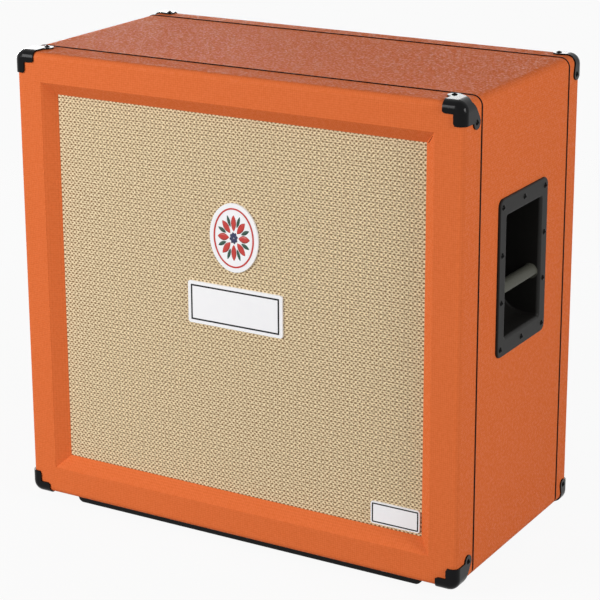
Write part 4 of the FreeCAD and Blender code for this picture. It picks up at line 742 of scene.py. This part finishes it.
def screw_profile(length):
    """Radius and height of the turned screw, from its tip to the top of its dome."""
    profile = [(0, -length), (THREAD_RADIUS, -length + TIP_LENGTH)]
    ridges = max(1, int((length - TIP_LENGTH) / THREAD_PITCH))
    for ridge in range(ridges):
        height = -length + TIP_LENGTH + (ridge + 0.5) * (length - TIP_LENGTH) / ridges
        profile += [(SHANK_RADIUS, height - THREAD_FLANK), (THREAD_RADIUS, height)]
    profile += [(SHANK_RADIUS, -NECK_LENGTH), (SHANK_RADIUS, 0), (HEAD_RADIUS, 0), (HEAD_RADIUS, HEAD_RIM)]
    rise = HEAD_HEIGHT - HEAD_RIM
    dome = (HEAD_RADIUS ** 2 + rise ** 2) / (2 * rise)
    sweep = math.asin(HEAD_RADIUS / dome)
    for step in range(1, DOME_STEPS + 1):
        angle = sweep * (1 - step / DOME_STEPS)
        profile.append((dome * math.sin(angle), HEAD_HEIGHT - dome + dome * math.cos(angle)))
    return profile


def turned_solid(profile, sides):
    """Spin a profile that starts and ends on the axis into a closed solid."""
    points = [(0, 0, profile[0][1])]
    for radius, height in profile[1:-1]:
        for side in range(sides):
            angle = TURN * side / sides
            points.append((radius * math.cos(angle), radius * math.sin(angle), height))
    points.append((0, 0, profile[-1][1]))
    last = len(points) - 1
    faces = [(0, 1 + (side + 1) % sides, 1 + side) for side in range(sides)]
    for ring in range(len(profile) - 3):
        low_ring, high_ring = 1 + ring * sides, 1 + (ring + 1) * sides
        for side in range(sides):
            following = (side + 1) % sides
            faces.append((low_ring + side, low_ring + following, high_ring + following, high_ring + side))
    top_ring = last - sides
    faces += [(top_ring + side, top_ring + (side + 1) % sides, last) for side in range(sides)]
    return points, faces


def cross_cutter():
    """A tapered plus sign that is sunk into a screw's dome."""
    arms = []
    for quarter in range(4):
        along = Vector((math.cos(quarter * TURN / 4), math.sin(quarter * TURN / 4)))
        aside = Vector((-along.y, along.x))
        half = CROSS_WIDTH / 2
        arms += [along * CROSS_LENGTH / 2 - aside * half, along * CROSS_LENGTH / 2 + aside * half,
                 along * half + aside * half]
    count = len(arms)
    floor_level, mouth_level = HEAD_HEIGHT - CROSS_DEPTH, HEAD_HEIGHT + CROSS_DEPTH
    points = []
    for share, level in ((1 - CROSS_TAPER, floor_level), (1 + CROSS_TAPER, mouth_level)):
        points += [(share * arm.x, share * arm.y, level) for arm in arms]
    faces = [tuple(reversed(range(count))), tuple(range(count, 2 * count))]
    for index in range(count):
        following = (index + 1) % count
        faces.append((index, following, count + following, count + index))
    return points, faces


def screw_mesh(length):
    """The turned screw with its recess, as plain points and faces."""
    blank = scratch_object("screw_blank", *turned_solid(screw_profile(length), SCREW_SIDES))
    cutter = scratch_object("screw_cutter", *cross_cutter())
    recess = blank.modifiers.new("recess", "BOOLEAN")
    recess.operation = "DIFFERENCE"
    recess.solver = "EXACT"
    recess.object = cutter
    shaped = blank.evaluated_get(bpy.context.evaluated_depsgraph_get()).to_mesh()
    points = [vertex.co.copy() for vertex in shaped.vertices]
    faces = [tuple(polygon.vertices) for polygon in shaped.polygons]
    bpy.data.objects.remove(cutter)
    bpy.data.objects.remove(blank)
    return points, faces


print("screw heads are", round(2 * HEAD_RADIUS / MM, 1), "mm wide")

# %% [markdown]
# The finished screw is copied to every place where the model has one of its length. The long side of a
# screw's box is its axis, and its head points away from the cabinet's middle. The black lacquer on the
# heads is glossy, and its specular level is low, so that the white room doesn't turn it grey.

# %% Screws in their places
screw_black, tree, shader = finish("steel_black_lacquer", "#040404", roughness=0.1, ior=1.5, specular=0.06)
drift(tree, shader, "#060606", "#020202", size_mm=3)
grain(tree, shader, size_mm=0.6, depth_mm=0.02)
SMOOTH_LIMIT = math.radians(40)
made_screws = {}
cabinet_middle = (cad_box[0] + cad_box[1]) / 2
for node in ("corner_screws", "handle_screws", "skid_screws", "back_screws"):
    points, faces = [], []
    for low, high in solids(node):
        size = high - low
        axis = max(range(3), key=lambda index: size[index])
        middle = (low + high) / 2
        outward = Vector((0, 0, 0))
        outward[axis] = 1.0 if middle[axis] > cabinet_middle[axis] else -1.0
        seat = middle + outward * (size[axis] / 2 - HEAD_HEIGHT)
        turned = Matrix.Translation(seat) @ outward.to_track_quat("Z", "Y").to_matrix().to_4x4()
        length = size[axis] - HEAD_HEIGHT
        length_mm = round(length / MM, 1)
        if length_mm not in made_screws:
            made_screws[length_mm] = screw_mesh(length)
        own_points, own_faces = made_screws[length_mm]
        first = len(points)
        points += [turned @ point for point in own_points]
        faces += [tuple(first + index for index in face) for face in own_faces]
    mesh = bpy.data.meshes.new(node + "_cross_head")
    mesh.from_pydata(points, [], faces)
    mesh.polygons.foreach_set("use_smooth", [True] * len(faces))
    mesh.set_sharp_from_angle(angle=SMOOTH_LIMIT)
    screws = new_piece(node + "_cross_head", mesh, screw_black)
    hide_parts(node)

# %% [markdown]
# ## A fold at one mitre
# At each corner of the bevelled frame the vinyl is slit, folded over and glued down. Three of the folds lie
# flat. The upper right one has a short raised edge beside the mitre: a slim tapered roll, half sunk in the
# bevel, coloured a matt dark brown as painted shade for the dark line along the fold. Its ends are given
# by how far they lie out along the bevel and up from the opening.

# %% Vinyl fold in the upper right corner of the bevel
FACE_WIDTH = 45 * MM
BEVEL_WIDTH = 20 * MM
BEVEL_DEPTH = 17 * MM
FOLD_FOOT = (5 * MM, 1 * MM)
FOLD_TIP = (16 * MM, 14 * MM)
FOLD_RADIUS = 0.75 * MM
FOLD_SIDES = 8
# Painted shade: the roll is coloured dark brown for the shaded line along the fold.
fold_painted_shade, tree, shader = finish("vinyl_fold_painted_shade", "#7A3216", roughness=0.8, ior=1.53, specular=0.05)
drift(tree, shader, "#8A3A1A", "#662812", size_mm=6)
grain(tree, shader, size_mm=1.2, depth_mm=0.05)
frame_low, frame_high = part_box("front_vinyl")
opening_x = frame_high.x - FACE_WIDTH - BEVEL_WIDTH
opening_z = frame_high.z - FACE_WIDTH - BEVEL_WIDTH
ends = []
for out, up in (FOLD_FOOT, FOLD_TIP):
    depth = frame_low.y + BEVEL_DEPTH * (1 - out / BEVEL_WIDTH)
    ends.append(Vector((opening_x + out, depth, opening_z + up)))
run = ends[1] - ends[0]
roll = [(0, 0), (FOLD_RADIUS, FOLD_RADIUS), (FOLD_RADIUS / 2, run.length - FOLD_RADIUS), (0, run.length)]
points, faces = turned_solid(roll, FOLD_SIDES)
laid = Matrix.Translation(ends[0]) @ run.to_track_quat("Z", "Y").to_matrix().to_4x4()
mesh = bpy.data.meshes.new("vinyl_fold")
mesh.from_pydata([laid @ Vector(point) for point in points], [], faces)
mesh.polygons.foreach_set("use_smooth", [True] * len(faces))
new_piece("vinyl_fold", mesh, fold_painted_shade)

# %% [markdown]
# ## Wood
# The box is birch plywood, cut with the grain along the panel, and the baffle and the back are the same
# board rolled with black paint. Little of it shows, but the paint on the back panel still lets the grain
# through as faint ridges.

# %% Birch plywood and black-painted board
birch, tree, shader = finish("birch_plywood_sanded", "#C9A570", roughness=0.6, ior=1.5)
drift(tree, shader, "#D6B582", "#B48E5A", size_mm=6, stretch=(0.06, 1, 1))
grain(tree, shader, size_mm=1.2, depth_mm=0.08, stretch=(0.05, 1, 1))
dress(birch, "top_panel", "bottom_panel", "left_panel", "right_panel", "front_frame", "front_battens",
      "rear_battens", "centre_post")
black_board, tree, shader = finish("plywood_black_rolled_paint", "#1A1A19", roughness=0.55, ior=1.5,
                                   specular=0.2)
drift(tree, shader, "#201F1E", "#141413", size_mm=14, stretch=(0.2, 1, 1))
grain(tree, shader, size_mm=2.2, depth_mm=0.15, stretch=(0.12, 1, 1))
dress(black_board, "baffle_board", "back_panel")

# %% [markdown]
# ## Input dish, jacks and leads
# The input dish is a small black moulding sunk in the back panel. Its jack sockets are turned brass with
# a nickel plate, bright and slightly yellow, and the leads behind them are in soft black PVC.

# %% Dish, jacks and leads
dish_black, tree, shader = finish("abs_moulded_satin_black", "#171717", roughness=0.42, ior=1.54)
drift(tree, shader, "#1D1D1D", "#121212", size_mm=10)
grain(tree, shader, size_mm=1.0, depth_mm=0.05)
dress(dish_black, "input_dish")
nickel, tree, shader = finish("brass_nickel_plated", "#C9C4B8", roughness=0.24, metallic=1.0)
drift(tree, shader, "#D2CDC1", "#BCB6A8", size_mm=4)
grain(tree, shader, size_mm=0.5, depth_mm=0.01)
dress(nickel, "jack_sockets")
lead_black, tree, shader = finish("pvc_lead_sleeve", "#141414", roughness=0.5, ior=1.53)
drift(tree, shader, "#1A1A1A", "#0F0F0F", size_mm=8)
grain(tree, shader, size_mm=1.0, depth_mm=0.03)
dress(lead_black, "speaker_leads")

# %% [markdown]
# ## Speakers
# Behind the cloth sit four 12-inch speakers. Their baskets are pressed steel with a powder coat, their
# magnets are ground ferrite, and zinc-plated bolts hold them to the baffle. Each has its own small grain,
# though only a view from inside would show it.

# %% Baskets and magnets
basket_grey, tree, shader = finish("steel_pressed_powder_coat", "#3A3B3D", roughness=0.45, ior=1.5)
drift(tree, shader, "#424345", "#313234", size_mm=18)
grain(tree, shader, size_mm=0.8, depth_mm=0.06)
ferrite, tree, shader = finish("ferrite_ground_ring", "#4A4A4C", roughness=0.55, ior=1.5)
drift(tree, shader, "#57575A", "#3A3A3C", size_mm=5)
grain(tree, shader, size_mm=0.6, depth_mm=0.05)
zinc, tree, shader = finish("steel_zinc_plated", "#B9BCC0", roughness=0.35, metallic=1.0)
drift(tree, shader, "#C6C8CB", "#A5A9AE", size_mm=3)
grain(tree, shader, size_mm=0.6, depth_mm=0.02)
SPEAKERS = (1, 2, 3, 4)
dress(basket_grey, *[f"basket_{number}" for number in SPEAKERS])
dress(ferrite, *[f"magnet_{number}" for number in SPEAKERS])
dress(zinc, "speaker_bolts")

# %% [markdown]
# The cones are felted paper pulp with an edge of doped cotton. Behind each cone, a spider of cotton that
# is pressed with resin centres the coil of copper wire. Ground cork seals the rim, and the terminals sit
# on a strip of phenolic board.

# %% Cones, coils and small parts
pulp, tree, shader = finish("paper_pulp_felted", "#2C2A28", roughness=0.85, ior=1.5)
drift(tree, shader, "#383532", "#211F1E", size_mm=4)
grain(tree, shader, size_mm=1.4, depth_mm=0.2)
doped_cloth, tree, shader = finish("cotton_doped_edge", "#232220", roughness=0.6, ior=1.5)
drift(tree, shader, "#2B2A27", "#1A1918", size_mm=5)
grain(tree, shader, size_mm=0.9, depth_mm=0.12)
resin_cloth, tree, shader = finish("cotton_resin_pressed", "#B5893F", roughness=0.7, ior=1.5)
drift(tree, shader, "#C39A4E", "#9C7330", size_mm=4)
grain(tree, shader, size_mm=0.8, depth_mm=0.12)
coil_copper, tree, shader = finish("copper_wire_wound", "#B46A3C", roughness=0.35, metallic=1.0)
drift(tree, shader, "#C27849", "#9A5830", size_mm=3)
grain(tree, shader, size_mm=0.4, depth_mm=0.05, stretch=(0.1, 1, 0.1))
cork, tree, shader = finish("cork_ground_strip", "#8A6238", roughness=0.9, ior=1.45)
drift(tree, shader, "#A0754A", "#5F4021", size_mm=3)
grain(tree, shader, size_mm=1.5, depth_mm=0.2)
tag_brown, tree, shader = finish("phenolic_board_cut", "#6B4526", roughness=0.5, ior=1.6)
drift(tree, shader, "#7A512F", "#59371C", size_mm=4)
grain(tree, shader, size_mm=0.7, depth_mm=0.03)
dress(pulp, *[f"{part}_{number}" for part in ("cone", "dust_cap") for number in SPEAKERS])
dress(doped_cloth, *[f"surround_{number}" for number in SPEAKERS])
dress(resin_cloth, *[f"spider_{number}" for number in SPEAKERS])
dress(coil_copper, *[f"voice_coil_{number}" for number in SPEAKERS])
dress(cork, "speaker_gaskets")
dress(tag_brown, "speaker_terminals")

# %% [markdown]
# ## Last measurements
# Dressing a cabinet mustn't make it grow.

# %% Print the growth and finish
seen_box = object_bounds()
growth = [seen - bare for seen, bare in zip(seen_box, cad_box)]
print("grown by, in mm:", [[round(length / MM, 2) for length in corner] for corner in growth])
